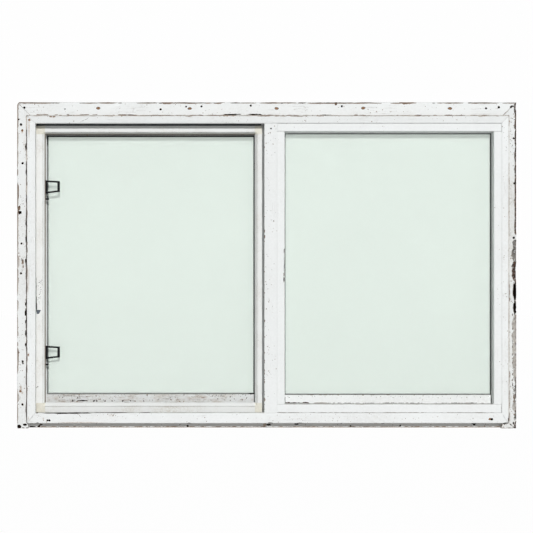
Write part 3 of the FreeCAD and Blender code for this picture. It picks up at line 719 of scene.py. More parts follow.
def make_materials():
    """Every finish of the window, once."""
    if "casing_paint_across" in bpy.data.materials:
        return
    finish = bpy.context.scene.sliding_window_finish
    make_grain_group()
    make_edge_group()
    make_hairline_group()
    make_ledge_group()
    make_grime_group()
    make_fleck_group()
    make_stain_group()
    for run in GRAIN:
        painted_wood("casing_paint_" + run, run, chips=0.56, soil=0.30, flecks=0.17, shade=1.005)
        painted_wood("frame_paint_" + run, run, chips=0.50, soil=0.26, flecks=0.14, shade=1.012,
                     reach=0.003, splits=0.2, line=0.4)
        painted_wood("bead_paint_" + run, run, chips=0.42, soil=0.12, flecks=0.10,
                     reach=0.0016, splits=0.1, line=0.2)
        painted_wood("sash_paint_" + run, run, chips=0.48, soil=0.45, flecks=0.15, shade=0.96,
                     reach=0.0025, splits=0.4)
        bare_wood("bare_wood_" + run, run, finish.wood_pale, finish.wood_dark)
        bare_wood("raw_back_" + run, run, (0.50, 0.40, 0.29), (0.27, 0.19, 0.12))
        enamel("screen_enamel_" + run, finish.screen, 0.40, run)
    painted_wood("left_casing_paint", "upright", chips=0.60, soil=0.42, flecks=0.18, shade=0.985)
    painted_wood("right_casing_paint", "upright", chips=0.66, soil=0.85, flecks=0.24, shade=0.95)
    painted_wood("head_paint", "across", chips=0.50, soil=0.26, flecks=0.16, shade=0.945,
                 reach=0.003, splits=0.2, line=0.4)
    painted_wood("post_paint", "upright", chips=0.42, soil=0.2, flecks=0.18, shade=0.985,
                 reach=0.0016, splits=0.1, line=0.2)
    painted_wood("light_rail_paint", "across", chips=0.5, soil=0.3, flecks=0.16,
                 reach=0.0016, splits=0.1, line=0.2)
    painted_wood("weathered_rail_paint", "across", chips=0.55, soil=1.0, flecks=0.24, shade=0.84,
                 splits=0.9, drifts=30.0, thin=0.62)
    # Top rail of the sliding sash: dirty paint darkened to about a quarter, painted shade under the screen's
    # top rail.
    painted_wood("grime_and_shade_rail_paint", "across", chips=0.60, soil=1.0, flecks=0.20, shade=0.28)
    # The apron's paint is made a little lighter: painted light that lifts the shadow under the sill nose.
    painted_wood("apron_paint", "across", chips=0.5, soil=0.2, flecks=0.16, shade=1.02,
                 line=0.3, bare_and_shaded_foot=0.0032)
    bare_wood("weathered_wood", "upright", (0.33, 0.31, 0.28), (0.12, 0.105, 0.09), patchy=0.75, flakes=0.7)
    bare_wood("silvered_wood", "upright", (0.60, 0.565, 0.52), (0.36, 0.325, 0.29), patchy=0.3, flakes=0.5)
    bare_wood("rotten_wood", "upright", rgba(finish.rot, 3.4), rgba(finish.rot, 1.1),
              rough=0.95, patchy=0.9, flakes=0.6)
    enamel("screen_foot_enamel", rgba(finish.screen, 0.975), 0.75, "across")
    enamel("screen_latch_enamel", rgba(finish.screen, 1.055), 0.40, "upright")
    enamel("screen_dark_edge", (0.235, 0.20, 0.165), 0.5, "across")
    mottled("joint_filler", (0.74, 0.715, 0.67), (0.50, 0.44, 0.38), scale=70.0, rough=0.8, soil=0.6)
    # Near-black bluish grey for the roofs of the head's channel: painted shade.
    mottled("track_painted_shade", (0.054, 0.06, 0.068), (0.03, 0.034, 0.039), scale=90.0, rough=0.9, gloss=0.1)
    # Dark bluish grey for the screen stops seen in the gap above the screen: painted shade.
    mottled("stop_painted_shade", (0.165, 0.18, 0.196), (0.10, 0.11, 0.122), scale=60.0, rough=0.85, gloss=0.2)
    # Bluish dark grey for the torn tab's hollow: torn metal with painted shade.
    mottled("pried_metal_and_shade", (0.14, 0.165, 0.19), (0.07, 0.085, 0.10), scale=260.0, rough=0.55, gloss=0.4)
    # Near-black for the insides of holes and cracks: painted shade.
    mottled("hole_painted_shade", (0.022, 0.011, 0.007), (0.008, 0.005, 0.004), scale=300.0, rough=0.95, gloss=0.05)
    mottled("screw_rust", rgba(finish.rust, 1.5), rgba(finish.rust, 0.55), scale=420.0, rough=0.85,
            soil=0.3, metallic=0.1, bump=0.6)
    mottled("yellowed_corner", finish.corner, rgba(finish.corner, 0.93), scale=120.0, rough=0.5, soil=0.35)
    mottled("black_latch", rgba(finish.latch, 1.5), finish.latch, scale=260.0, rough=0.6,
            soil=0.2, gloss=0.08)
    mottled("gasket_rubber", (0.105, 0.115, 0.108), (0.07, 0.077, 0.072), scale=180.0, rough=0.75, gloss=0.2)
    # The sliding sash's gasket is painted nearly black by the meeting post and along the top, as shade.
    mottled("old_gasket_rubber", (0.25, 0.258, 0.25), (0.165, 0.172, 0.167), scale=180.0, rough=0.8,
            gloss=0.15, shaded_from=(-0.06, 0.85))
    mottled("nylon_shoe", (0.74, 0.72, 0.66), (0.62, 0.60, 0.54), scale=140.0, rough=0.45)
    mottled("pile_grey", (0.22, 0.22, 0.215), (0.10, 0.10, 0.10), scale=900.0, rough=0.95, bump=1.0)
    pane_glass("pane_glass", finish.glass)
    brushed("track_aluminium", (0.56, 0.565, 0.57), "across")


def blob(mesh, centre, radii, slot, seed, detail=2):
    """A rough closed lump, added to a cutter mesh; sizes are in millimetres."""
    made = bmesh.ops.create_icosphere(mesh, subdivisions=detail, radius=1.0)["verts"]
    shift = Vector((seed * 3.17, seed * 1.71, seed * 2.39))
    for point in made:
        swell = 1.0 + 0.42 * noise.noise(point.co * 1.7 + shift)
        point.co = Vector(tuple((centre[i] + point.co[i] * radii[i] * swell) * MM for i in range(3)))
    faces = {face for point in made for face in point.link_faces}
    for face in faces:
        face.material_index = slot


def skin(mesh, loops, slot=0):
    """Close a row of rings into a solid; a last ring of one point makes a tip."""
    faces = [mesh.faces.new(loops[0])]
    if len(loops[-1]) > 1:
        faces.append(mesh.faces.new(loops[-1][::-1]))
    for upper, lower in zip(loops, loops[1:]):
        for step in range(len(upper)):
            after = (step + 1) % len(upper)
            below = (lower[step], lower[after]) if len(lower) > 1 else (lower[0],)
            faces.append(mesh.faces.new((upper[after], upper[step], *below)))
    for face in faces:
        face.material_index = slot


def hole(mesh, x, z, radius, face, depth, slot, seed, tall=1.0):
    """A nail hole with a ragged rim, driven in from a face; tall is its height for its width."""
    loops = []
    for offset, scale in ((-OUTSIDE, 1.15), (0.4, 1.0), (depth, 0.55)):
        loop = []
        for step in range(HOLE_SIDES):
            turn = 2.0 * math.pi * step / HOLE_SIDES
            dx, dz = math.cos(turn), math.sin(turn)
            ragged = radius * scale * (1.0 + 0.22 * noise.noise(Vector((dx, dz, seed))))
            spot = (x + ragged * dx, face + offset, z + ragged * tall * dz)
            loop.append(mesh.verts.new(tuple(part * MM for part in spot)))
        loops.append(loop)
    skin(mesh, loops, slot)


def crack(mesh, x0, z0, x1, z1, width, face, depth, slot, seed):
    """A split along the grain: a thin ragged wedge cut into a face."""
    start, stop = Vector((x0, 0.0, z0)), Vector((x1, 0.0, z1))
    side = (stop - start).cross(Vector((0.0, 1.0, 0.0))).normalized()
    loops = []
    for offset, scale in ((-OUTSIDE, 1.0), (depth, 0.35)):
        upper, lower = [], []
        for step in range(CRACK_STEPS + 1):
            part = step / CRACK_STEPS
            swell = math.sin(math.pi * part) ** 0.55
            ragged = 0.7 + 0.6 * noise.noise(Vector((part * 6.0, seed, 0.0)))
            half = max(0.15, 0.5 * width * swell * ragged) * scale
            wander = min(0.5 * width, 0.6) * noise.noise(Vector((part * 4.0, seed, 5.0)))
            middle = start.lerp(stop, part) + side * wander
            upper.append(middle + side * half)
            lower.append(middle - side * half)
        ring = upper + lower[::-1]
        loops.append([mesh.verts.new(Vector((p.x, face + offset, p.z)) * MM) for p in ring])
    skin(mesh, loops, slot)


def chips(mesh, start, stop, count, length, size, slot, seed):
    """Broken bits along an edge, between two points in millimetres."""
    rng = random.Random(seed)
    start, stop = Vector(start), Vector(stop)
    along = (stop - start).normalized()
    for number in range(count):
        where = start.lerp(stop, rng.random())
        long = rng.uniform(*length) * 0.5
        small = rng.uniform(*size)
        radii = [small + abs(part) * (long - small) for part in along]
        lift = Vector((rng.uniform(-0.3, 0.3), rng.uniform(-0.3, 0.3), rng.uniform(-0.3, 0.3))) * small
        blob(mesh, where + lift, radii, slot, seed + number * 0.37, 1)


def specks(mesh, face, x0, x1, z0, z1, count, smallest, largest, slot, seed):
    """Small shallow pits scattered over a patch of a face, in millimetres."""
    rng = random.Random(seed)
    for number in range(count):
        wide, tall = rng.uniform(smallest, largest), rng.uniform(smallest, largest)
        where = (rng.uniform(x0, x1), face, rng.uniform(z0, z1))
        blob(mesh, where, (wide, SPECK_DEPTH, tall), slot, seed + number * 0.53, 1)


def solid_mesh(node):
    """A clean copy of a CAD node's mesh, with flat faces joined up."""
    mesh = bmesh.new()
    mesh.from_mesh(NODES[node].data)
    bmesh.ops.remove_doubles(mesh, verts=mesh.verts, dist=1e-6)
    bmesh.ops.dissolve_limit(mesh, angle_limit=math.radians(0.5), verts=mesh.verts, edges=mesh.edges)
    points = [tuple(vert.co) for vert in mesh.verts]
    mesh.verts.index_update()
    faces = [tuple(vert.index for vert in face.verts) for face in mesh.faces]
    mesh.free()
    made = bpy.data.meshes.new(node + "_solid")
    made.from_pydata(points, [], faces)
    return made


def carved(mesh, cutter, cutter_materials):
    """Cut a mesh by a cutter mesh, keeping the cutter's materials on the cut faces."""
    body = bpy.data.objects.new("body_to_cut", mesh)
    bmesh.ops.recalc_face_normals(cutter, faces=cutter.faces)
    tool_mesh = bpy.data.meshes.new("cutter")
    cutter.to_mesh(tool_mesh)
    for name in cutter_materials:
        tool_mesh.materials.append(bpy.data.materials[name])
    tool = bpy.data.objects.new("cutter", tool_mesh)
    for thing in (body, tool):
        bpy.context.scene.collection.objects.link(thing)
    cut = body.modifiers.new("cut", "BOOLEAN")
    cut.operation, cut.solver, cut.object = "DIFFERENCE", "EXACT", tool
    cut.use_self, cut.material_mode = True, "TRANSFER"
    bpy.context.view_layer.update()
    shaped = body.evaluated_get(bpy.context.evaluated_depsgraph_get())
    result = bpy.data.meshes.new_from_object(shaped)
    for thing in (body, tool):
        bpy.data.objects.remove(thing)
    drop_crumbs(result)
    return result


def drop_crumbs(mesh):
    """Keep a cut board's main body, and drop the crumbs that the cutting left loose."""
    shape = bmesh.new()
    shape.from_mesh(mesh)
    waiting = set(shape.verts)
    bodies = []
    while waiting:
        reached = [waiting.pop()]
        for vert in reached:
            for edge in vert.link_edges:
                other = edge.other_vert(vert)
                if other in waiting:
                    waiting.remove(other)
                    reached.append(other)
        bodies.append(reached)
    bodies.sort(key=len)
    for crumb in bodies[:-1]:
        bmesh.ops.delete(shape, geom=crumb, context="VERTS")
    shape.to_mesh(mesh)
    shape.free()


def crisp(mesh, angle=BOARD_SHARP):
    """Smooth shading that breaks at sharp corners."""
    mesh.shade_smooth()
    mesh.set_sharp_from_angle(angle=math.radians(angle))


def finished(name, shape, materials, angle=BOARD_SHARP):
    """Turn a built shape into a mesh with its finishes and crisp corners."""
    mesh = bpy.data.meshes.new(name)
    shape.to_mesh(mesh)
    shape.free()
    for material in materials:
        mesh.materials.append(bpy.data.materials[material])
    crisp(mesh, angle)
    return mesh


def place(name, mesh, replaced=()):
    """Put a piece in the scene, on the window, hiding the nodes it replaces."""
    piece = bpy.data.objects.new(name, mesh)
    bpy.context.scene.collection.objects.link(piece)
    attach(piece, "root")
    if replaced:
        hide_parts(*replaced)
    return piece


def paint_nodes(material, *nodes):
    """Give CAD nodes their finish."""
    for node in nodes:
        mesh = NODES[node].data
        if mesh.materials:
            NODES[node].material_slots[0].material = bpy.data.materials[material]
        else:
            mesh.materials.append(bpy.data.materials[material])


def low_side(node, axis):
    """The lowest side of a node's box along an axis, in millimetres."""
    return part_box(node)[0][axis] / MM


def high_side(node, axis):
    """The highest side of a node's box along an axis, in millimetres."""
    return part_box(node)[1][axis] / MM


def level_line(x0, x1, face, z, *what):
    """The two ends of a level line in millimetres, and what is done along it."""
    return (x0, face, z), (x1, face, z), *what


def upright_line(x, face, z0, z1, *what):
    """The two ends of an upright line in millimetres, and what is done along it."""
    return (x, face, z0), (x, face, z1), *what


# Face finishes of a board: paint, raw wood, and the near-black painted shade of the head's channel.
PAINTED, RAW, PAINTED_SHADE = range(3)


def painted_all_round(normal, centre):
    """For pieces with no raw faces."""
    return PAINTED


def raw_back(normal, centre):
    """For boards whose back was never painted."""
    return RAW if normal.y > SQUARE_ON else PAINTED


def worn_board(node, paint, run, face, finish_of=painted_all_round, edges=()):
    """Replace a painted board by one with its holes, cracks, gouges and chips cut in.

    finish_of tells a face's finish from its normal and its centre in millimetres. Each of the edges has its
    two ends, how many chips it has, their least and greatest length and size, and their number in CUTS.
    """
    finish = bpy.context.scene.sliding_window_finish
    mesh = solid_mesh(node)
    for name in (paint, "raw_back_" + run, "track_painted_shade"):
        mesh.materials.append(bpy.data.materials[name])
    for side in mesh.polygons:
        side.material_index = finish_of(side.normal, side.center / MM)
    cutter = bmesh.new()
    wall = high_side(node, Y) - face - LEAST_BACK
    for table, deep, cut in ((NAIL_HOLES, HOLE_DEPTH, DARK), (RUSTY_HOLES, RUST_DEPTH, RUSTED)):
        for number, (x, z, radius) in enumerate(table.get(node, ())):
            hole(cutter, x, z, radius, face, min(deep, wall), cut, number * 1.3)
    for number, split in enumerate(CRACKS.get(node, ())):
        crack(cutter, *split, face, CRACK_DEPTH, DARK, number * 2.1)
    for number, (x, z, half_width, half_height, depth, cut) in enumerate(GOUGES.get(node, ())):
        blob(cutter, (x, face, z), (half_width, depth, half_height), cut, number * 1.9, 3)
    if node == "head_casing":
        for number, (x, z) in enumerate(CASING_SCREWS):
            hole(cutter, x, z, SCREW_RADIUS, face, SCREW_SINK, ROTTEN, number * 0.7, SCREW_OVAL)
    for number, patch in enumerate(SPECKS.get(node, ())):
        specks(cutter, face, *patch, number * 7 + len(node))
    for number, (start, stop, count, length, size, cut) in enumerate(edges):
        chips(cutter, start, stop, round(count * finish.chips), length, size, cut, number * 11 + len(node))
    result = carved(mesh, cutter, ("bare_wood_" + run, *CUTS[1:]))
    cutter.free()
    crisp(result)
    place(node + "_worn", result, (node,))


class SLIDINGWINDOW_OT_casing(bpy.types.Operator):
    """Casing boards and apron with their holes, cracks, chips and rot."""

    bl_idname = "sliding_window.casing"
    bl_label = "Casing"

    def execute(self, context):
        make_materials()
        front = CASING_FACE
        left, right = low_side("left_casing", X), high_side("right_casing", X)
        top, under = high_side("head_casing", Z), low_side("head_casing", Z)
        inner_left = low_side("left_jamb", X) - LEFT_JOINT
        inner_right = high_side("right_jamb", X) + RIGHT_JOINT
        apron_left, apron_right = low_side("sill_apron", X), high_side("sill_apron", X)

        worn_board("head_casing", "casing_paint_across", "across", front, raw_back, (
            level_line(left + 10, left + 80, front, top - 2.6, 7, (30, 60), (1.4, 2.1), BARE),
            level_line(left + 8, right - 4, front, top - 3.2, 44, (20, 80), (1.2, 2.0), BARE),
            level_line(left + 8, right - 4, front, top - 3.0, 26, (10, 40), (0.9, 1.6), ROTTEN),
            level_line(left + 8, right - 4, front, top, 16, (10, 40), (1.0, 2.0), BARE),
            level_line(-360, 170, front, under, 22, (8, 50), (1.0, 2.2), BARE),
            level_line(left + 60, right - 60, front, under, 44, (5, 34), (1.0, 2.2), BARE),
            level_line(left + 60, -380, front, under + 2.6, 16, (8, 26), (0.7, 1.4), BARE),
            level_line(left + 4, right - 4, 0, top, 24, (10, 40), (1.5, 3.5), BARE),
        ))
        worn_board("left_casing", "left_casing_paint", "upright", front, raw_back, (
            upright_line(left + 0.5, front + 0.5, 10, top - 20, 60, (16, 80), (2.4, 4.0), BARE),
            upright_line(inner_left, front, 20, under - 45, 60, (8, 40), (0.8, 1.6), DARK),
            level_line(left, apron_left, front, 0, 8, (5, 12), (1.6, 3.0), ROTTEN),
        ))
        worn_board("right_casing", "right_casing_paint", "upright", front, raw_back, (
            upright_line(right - 0.9, front, 590, top - 6, 60, (10, 60), (3.8, 5.6), ROTTEN),
            upright_line(right - 2.6, front, 590, top - 6, 40, (6, 26), (1.2, 2.2), DARK),
            upright_line(right, front, 20, 340, 26, (5, 18), (1.4, 3.6), ROTTEN),
            upright_line(right - 3.0, front, 24, 340, 34, (4, 12), (0.8, 1.8), ROTTEN),
            upright_line(right - 5.0, front, 24, 340, 20, (4, 12), (0.8, 1.8), WEATHERED),
            upright_line(right - 11.8, front, 130, 345, 20, (3, 11), (0.6, 1.4), ROTTEN),
            upright_line(right - 7.0, front, 40, 100, 12, (4, 14), (0.9, 2.4), BARE),
            upright_line(inner_right + 2.2, front, 24, 170, 14, (10, 40), (0.5, 1.0), BARE),
            upright_line(inner_right + 1.6, front, 380, 430, 5, (8, 24), (0.6, 1.2), BARE),
            upright_line(inner_right, front, 30, 780, 8, (6, 30), (0.6, 1.2), BARE),
            level_line(apron_right, right, front, 0, 12, (5, 14), (1.2, 2.6), ROTTEN),
        ))
        worn_board("sill_apron", "apron_paint", "across", APRON_FACE, raw_back, (
            level_line(apron_left, apron_right, APRON_FACE, 0, 60, (10, 50), (0.8, 1.7), BARE),
            level_line(apron_left, apron_right, APRON_FACE, 0.4, 36, (8, 40), (0.8, 1.6), ROTTEN),
        ))
        fill_joints(inner_left, inner_right, under)
        return {"FINISHED"}


def filler(mesh, start, stop, half, recess, seed, slot=0):
    """A ragged run of old paint and putty in a joint, between two points in millimetres."""
    start, stop = Vector(start), Vector(stop)
    count = max(2, round((stop - start).length / FILLER_STEP))
    side = (stop - start).cross(Vector((0.0, 1.0, 0.0))).normalized()
    loops = []
    for step in range(count + 1):
        middle = start.lerp(stop, step / count)
        sunk = recess * (1.0 + 0.8 * noise.noise(Vector((step * 0.31, seed, 2.0))))
        if step in (0, count):
            sunk += FILLER_END
        ring = ((-half, sunk), (0.0, sunk * 0.8), (half, sunk), (half, FILLER_BACK), (-half, FILLER_BACK))
        spots = (middle + side * across + Vector((0.0, deep, 0.0)) for across, deep in ring)
        loops.append([mesh.verts.new(spot * MM) for spot in spots])
    skin(mesh, loops, slot)


def fill_joints(inner_left, inner_right, under):
    """Old paint left in the joints round the frame; where it is flush it is as white as the boards."""
    face, half = CASING_FACE, HEAD_JOINT / 2
    runs = [level_line(a, b, face, under - half, half, recess) for a, b, recess in FILLED_HEAD]
    half = LEFT_JOINT / 2
    runs += [upright_line(inner_left + half, face, a, b, half, recess) for a, b, recess in FILLED_LEFT]
    half = RIGHT_JOINT / 2
    runs += [upright_line(inner_right - half, face, a, b, half, recess) for a, b, recess in FILLED_RIGHT]
    mesh = bmesh.new()
    for number, (start, stop, half, recess) in enumerate(runs):
        filler(mesh, start, stop, half, recess, number, 0 if recess > FLUSH else 1)
    bmesh.ops.recalc_face_normals(mesh, faces=mesh.faces)
    made = finished("joint_filler", mesh, ("joint_filler", "right_casing_paint"), LUMP_SHARP)
    place("joint_filler", made)


class SLIDINGWINDOW_OT_frame(bpy.types.Operator):
    """Head, sill, jambs and meeting post."""

    bl_idname = "sliding_window.frame"
    bl_label = "Frame"

    def execute(self, context):
        make_materials()
        front = FRAME_FACE
        left, right = low_side("left_jamb", X), high_side("right_jamb", X)
        foot, top = low_side("frame_sill", Z), high_side("frame_head", Z)
        post = low_side("fixed_left_bead", X) - POST_SHOWS

        def raw_sides(normal, centre):
            outer = centre.y > RAW_BEHIND and not left + RAW_LEFT < centre.x < right - RAW_RIGHT
            return RAW if outer and abs(normal.x) > SQUARE_ON else PAINTED

        def raw_ends(normal, centre):
            if normal.z < -SQUARE_ON and centre.z > top - HEAD_POCKET:
                return PAINTED_SHADE
            outer = centre.y > RAW_BEHIND and not foot + RAW_FOOT < centre.z < top - RAW_TOP
            return RAW if outer and abs(normal.z) > SQUARE_ON else PAINTED

        worn_board("frame_head", "head_paint", "across", front, raw_ends, (
            level_line(-360, 170, front, top, 16, (8, 40), (1.2, 2.4), BARE),
            level_line(left + 25, right - 30, front, top, 44, (5, 30), (1.0, 2.2), BARE),
            ((-16, front, top - 1.4), (120, front, top - 1.0), 14, (10, 36), (0.6, 1.3), BARE),
        ))
        worn_board("frame_sill", "frame_paint_across", "across", front, raw_ends, (
            level_line(left + 5, right - 5, front, foot, 40, (6, 30), (0.7, 1.4), BARE),
        ))
        worn_board("left_jamb", "frame_paint_upright", "upright", front, raw_sides, (
            upright_line(left, front, 30, top - 40, 26, (8, 50), (1.4, 2.6), BARE),
        ))
        worn_board("right_jamb", "frame_paint_upright", "upright", front, raw_sides, (
            upright_line(right, front, 30, 780, 10, (8, 40), (0.6, 1.3), BARE),
        ))
        worn_board("meeting_post", "post_paint", "upright", POST_FACE, edges=(
            upright_line(post, POST_FACE, 120, 860, 14, (3, 10), (1.4, 2.6), BARE),
            upright_line(post, POST_FACE, 55, 210, 8, (2, 6), (1.2, 2.2), ROTTEN),
        ))
        paint_nodes("pile_grey", "meeting_weatherstrip")
        return {"FINISHED"}


class SLIDINGWINDOW_OT_fixed_light(bpy.types.Operator):
    """The fixed light: its beads, sash, gasket and pane."""

    bl_idname = "sliding_window.fixed_light"
    bl_label = "Fixed Light"

    def execute(self, context):
        make_materials()
        rail_face, rail_top = low_side("fixed_bottom_rail", Y), high_side("fixed_bottom_rail", Z)
        left, right = low_side("fixed_bottom_rail", X), high_side("fixed_bottom_rail", X)
        bead_foot, bead_top = low_side("fixed_bottom_bead", Z), high_side("fixed_bottom_bead", Z)
        bead_left, bead_right = low_side("fixed_bottom_bead", X), high_side("fixed_bottom_bead", X)
        paint_nodes("bead_paint_across", "fixed_top_bead", "fixed_top_rail")
        worn_board("fixed_bottom_bead", "bead_paint_across", "across", POST_FACE, edges=(
            level_line(bead_left, bead_right, POST_FACE, bead_foot, 70, (5, 30), (0.4, 0.9), BARE),
            level_line(bead_left, bead_right, POST_FACE, bead_top, 60, (5, 30), (0.4, 1.0), BARE),
            upright_line(bead_right, POST_FACE, bead_foot, bead_top, 6, (4, 10), (0.5, 1.0), ROTTEN),
        ))
        paint_nodes("bead_paint_upright", "fixed_left_stile", "fixed_right_stile", "fixed_right_bead")
        worn_board("fixed_left_bead", "bead_paint_upright", "upright", POST_FACE)
        worn_board("fixed_bottom_rail", "light_rail_paint", "across", rail_face, edges=(
            level_line(left, right, rail_face, bead_top + 0.4, 70, (4, 18), (0.6, 1.5), ROTTEN),
            level_line(left, right, rail_face, rail_top, 26, (4, 16), (0.9, 1.9), BARE),
        ))
        paint_nodes("gasket_rubber", "fixed_gasket")
        paint_nodes("pane_glass", "fixed_glass")
        seal_beads()
        return {"FINISHED"}


def seal_beads():
    """Paint that bridges the joints beside the upright beads."""
    mesh = bmesh.new()
    low, high = low_side("fixed_left_bead", Z), high_side("fixed_left_bead", Z)
    post_side, jamb_side = low_side("fixed_left_bead", X), high_side("fixed_right_bead", X)
    filler(mesh, *upright_line(post_side - 0.3, POST_FACE, low, high), half=0.4, recess=0.1, seed=3)
    filler(mesh, *upright_line(jamb_side + 0.3, POST_FACE, low, high), half=0.4, recess=0.5, seed=7)
    bmesh.ops.recalc_face_normals(mesh, faces=mesh.faces)
    made = finished("bead_seal", mesh, ("bead_paint_upright",), LUMP_SHARP)
    place("bead_seal", made)


class SLIDINGWINDOW_OT_sash(bpy.types.Operator):
    """The sliding sash with its track, glides and pull."""

    bl_idname = "sliding_window.sash"
    bl_label = "Sliding Sash"

    def execute(self, context):
        make_materials()
        paint_nodes("grime_and_shade_rail_paint", "vent_top_rail")
        worn_board("vent_bottom_rail", "weathered_rail_paint", "across", SASH_FACE)
        paint_nodes("sash_paint_upright", "vent_left_stile", "vent_right_stile")
        paint_nodes("old_gasket_rubber", "vent_gasket")
        paint_nodes("pane_glass", "vent_glass")
        paint_nodes("nylon_shoe", "sash_glides")
        paint_nodes("track_aluminium", "sash_pull", "sill_track")
        return {"FINISHED"}


class SLIDINGWINDOW_OT_screen(bpy.types.Operator):
    """The screen frame, its corners, stops and latch loops."""

    bl_idname = "sliding_window.screen"
    bl_label = "Screen"

    def execute(self, context):
        make_materials()
        dark_from = high_side("screen_left_stile", X) - DARK_EDGE_STILE
        dark_below = low_side("screen_top_rail", Z) + DARK_EDGE_RAIL
        pry_open(dark_edged_member("screen_left_stile", "screen_latch_enamel", (dark_from, 0, 0), (1, 0, 0)))
        dark_edged_member("screen_top_rail", "screen_enamel_across", (0, 0, dark_below), (0, 0, -1))
        paint_nodes("screen_enamel_upright", "screen_right_stile")
        paint_nodes("screen_foot_enamel", "screen_bottom_rail")
        for corner in ("top_left", "top_right", "bottom_left", "bottom_right"):
            paint_nodes("yellowed_corner", "screen_corner_" + corner)
        paint_nodes("stop_painted_shade", "screen_stops")
        paint_nodes("black_latch", "upper_latch_loop", "lower_latch_loop")
        return {"FINISHED"}


def dark_edged_member(node, paint, point, outwards):
    """Replace a screen member by one whose inner edge, past a point, is coloured dark brown."""
    mesh = bmesh.new()
    mesh.from_mesh(solid_mesh(node))
    spot, way = Vector(point) * MM, Vector(outwards)
    pieces = [*mesh.verts, *mesh.edges, *mesh.faces]
    bmesh.ops.bisect_plane(mesh, geom=pieces, plane_co=spot, plane_no=way, dist=1e-7)
    for face in mesh.faces:
        face.material_index = 1 if (face.calc_center_median() - spot).dot(way) > 0 else 0
    made = finished(node + "_dark_edged", mesh, (paint, "screen_dark_edge"))
    return place(node + "_dark_edged", made, (node,))


def pry_open(stile):
    """Cut the groove, the torn tab and the scuffs where the screen was pried out of its track."""
    face = low_side("screen_left_stile", Y)
    cutter = bmesh.new()
    for number, groove in enumerate(PRIED_GROOVES):
        crack(cutter, *groove, face, PRIED_DEPTH, PRIED_CUTS.index("hole_painted_shade"), number * 2.1)
    loops = []
    for depth in (face - OUTSIDE, face + TORN_DEPTH):
        loops.append([cutter.verts.new((x * MM, depth * MM, z * MM)) for x, z in TORN_TAB])
    skin(cutter, loops, PRIED_CUTS.index("pried_metal_and_shade"))
    for number, patch in enumerate(PRIED_SCUFFS):
        specks(cutter, face, *patch, number)
    stile.data = carved(stile.data, cutter, PRIED_CUTS)
    cutter.free()
    crisp(stile.data)


class SLIDINGWINDOW_OT_screws(bpy.types.Operator):
    """Rusted screw heads sunk in the head casing."""

    bl_idname = "sliding_window.screws"
    bl_label = "Screws"

    def execute(self, context):
        make_materials()
        mesh = bmesh.new()
        for number, (x, z) in enumerate(CASING_SCREWS):
            screw_head(mesh, x, z, CASING_FACE + SCREW_SINK, SCREW_RADIUS * SCREW_FIT, number)
        made = finished("casing_screws", mesh, ("screw_rust",), LUMP_SHARP)
        place("casing_screws", made)
        return {"FINISHED"}


def screw_head(mesh, x, z, seat, radius, seed):
    """A flat rusted head on a short shank, its slot turned at random."""
    turn = random.Random(seed).uniform(0.0, math.pi)
    loops = []
    for offset, scale in SCREW_RINGS:
        if scale == 0.0:
            loops.append([mesh.verts.new((x * MM, (seat + offset) * MM, z * MM))])
            continue
        loop = []
        for step in range(SCREW_SIDES):
            angle = 2.0 * math.pi * step / SCREW_SIDES
            dx, dz = math.cos(angle), math.sin(angle)
            pitted = 0.25 * noise.noise(Vector((dx * 2.0, dz * 2.0, seed * 3.0 + offset)))
            across = abs(scale * (dx * math.sin(turn) - dz * math.cos(turn)))
            slot = SLOT_DEPTH if offset < SLOT_FROM and across < SLOT_HALF else 0.0
            spot = (x + radius * scale * dx, seat + offset + pitted + slot, z + radius * scale * dz)
            loop.append(mesh.verts.new(tuple(part * MM for part in spot)))
        loops.append(loop)
    skin(mesh, loops)
    bmesh.ops.recalc_face_normals(mesh, faces=mesh.faces)


class SLIDINGWINDOW_OT_stage(bpy.types.Operator):
    """Camera, light, floor and white surroundings."""

    bl_idname = "sliding_window.stage"
    bl_label = "Stage"

    def execute(self, context):
        stage = context.scene.sliding_window_stage
        eye = bpy.data.cameras.new("front_camera")
        eye.sensor_width = SENSOR_WIDTH
        eye.lens = SENSOR_WIDTH * stage.camera_distance / stage.view_width
        camera = bpy.data.objects.new("front_camera", eye)
        camera.location = (CAMERA_SIDE, CASING_FACE * MM - stage.camera_distance, stage.camera_height)
        camera.rotation_euler = (math.radians(90.0), 0.0, 0.0)
        context.scene.collection.objects.link(camera)
        context.scene.camera = camera
        key = (stage.key_strength, stage.key_spread, stage.key_height, stage.key_side)
        hang_lamp(context.scene, "key", *key)
        for name, side in BACK_LAMPS.items():
            hang_lamp(context.scene, name, stage.back_strength, BACK_SPREAD, BACK_HEIGHT, side)
        white_surroundings(context.scene, stage.fill)
        floor_below(context.scene, stage.floor_drop)
        context.scene.view_settings.view_transform = "Standard"
        return {"FINISHED"}


def hang_lamp(scene, name, strength, spread, height, side):
    """A far lamp at a height above the horizon, turned to a side from straight in front."""
    lamp = bpy.data.lights.new(name, "SUN")
    lamp.energy = strength
    lamp.angle = spread
    hung = bpy.data.objects.new(name, lamp)
    hung.rotation_euler = (math.radians(90.0) - height, 0.0, side)
    scene.collection.objects.link(hung)


def seen_directly(tree):
    """1 where the camera, a reflection or glass looks straight at the surroundings."""
    path = add(tree, "ShaderNodeLightPath")
    seen = larger(tree, path.outputs["Is Camera Ray"], path.outputs["Is Glossy Ray"])
    return larger(tree, seen, path.outputs["Is Transmission Ray"])


def white_surroundings(scene, fill):
    """White where it is seen, and a plain fill light elsewhere."""
    world = bpy.data.worlds.new("white_surroundings")
    world.use_nodes = True
    tree = world.node_tree
    sky = tree.nodes["Background"]
    seen = seen_directly(tree)
    tree.links.new(blend(tree, seen, FILL_TINT, SEEN_WHITE), sky.inputs["Color"])
    strength = add(tree, "ShaderNodeMapRange", {0: seen, 3: fill, 4: 1.0})
    tree.links.new(strength.outputs[0], sky.inputs["Strength"])
    scene.world = world


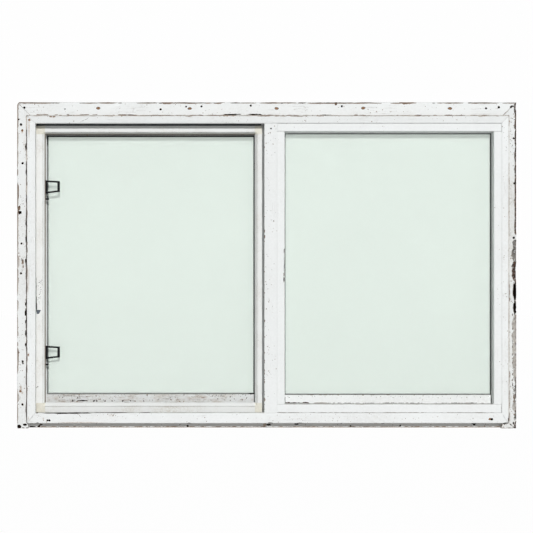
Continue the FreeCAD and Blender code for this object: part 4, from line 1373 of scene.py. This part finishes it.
def floor_below(scene, drop):
    """A wide pale floor under the window, white to the camera but for a faint shadow."""
    mesh = bmesh.new()
    bmesh.ops.create_grid(mesh, x_segments=2, y_segments=2, size=FLOOR_REACH)
    made = bpy.data.meshes.new("floor")
    mesh.to_mesh(made)
    mesh.free()
    floor = bpy.data.objects.new("floor", made)
    floor.location = (0.0, 0.0, -drop)
    tree, shader = new_material("floor_white")[:2]
    shader.inputs["Base Color"].default_value = FLOOR_GREY
    shader.inputs["Roughness"].default_value = 0.9
    glow = add(tree, "ShaderNodeEmission", {"Color": SEEN_WHITE, "Strength": FLOOR_GLOW})
    share = times(tree, seen_directly(tree), FLOOR_GLOW_SHARE)
    mixed = add(tree, "ShaderNodeMixShader", {0: share, 1: shader.outputs[0], 2: glow.outputs[0]})
    tree.links.new(mixed.outputs[0], tree.nodes["Material Output"].inputs["Surface"])
    made.materials.append(bpy.data.materials["floor_white"])
    scene.collection.objects.link(floor)


STEPS = (
    SLIDINGWINDOW_OT_casing,
    SLIDINGWINDOW_OT_frame,
    SLIDINGWINDOW_OT_fixed_light,
    SLIDINGWINDOW_OT_sash,
    SLIDINGWINDOW_OT_screen,
    SLIDINGWINDOW_OT_screws,
    SLIDINGWINDOW_OT_stage,
)


class SLIDINGWINDOW_PT_panel(bpy.types.Panel):
    """The window's settings and steps."""

    bl_idname = "SLIDINGWINDOW_PT_panel"
    bl_label = "Sliding Window"
    bl_space_type = "VIEW_3D"
    bl_region_type = "UI"
    bl_category = "Window"

    def draw(self, context):
        for settings in (context.scene.sliding_window_finish, context.scene.sliding_window_stage):
            box = self.layout.box()
            for name in settings.__annotations__:
                box.prop(settings, name)
        for step in STEPS:
            self.layout.operator(step.bl_idname)


CLASSES = (SlidingWindowFinish, SlidingWindowStage, *STEPS, SLIDINGWINDOW_PT_panel)


def register():
    for each in CLASSES:
        bpy.utils.register_class(each)
    bpy.types.Scene.sliding_window_finish = bpy.props.PointerProperty(type=SlidingWindowFinish)
    bpy.types.Scene.sliding_window_stage = bpy.props.PointerProperty(type=SlidingWindowStage)


def unregister():
    del bpy.types.Scene.sliding_window_stage
    del bpy.types.Scene.sliding_window_finish
    for each in reversed(CLASSES):
        bpy.utils.unregister_class(each)


def main():
    register()
    bpy.ops.sliding_window.casing()
    bpy.ops.sliding_window.frame()
    bpy.ops.sliding_window.fixed_light()
    bpy.ops.sliding_window.sash()
    bpy.ops.sliding_window.screen()
    bpy.ops.sliding_window.screws()
    bpy.ops.sliding_window.stage()


if __name__ == "__main__":
    main()
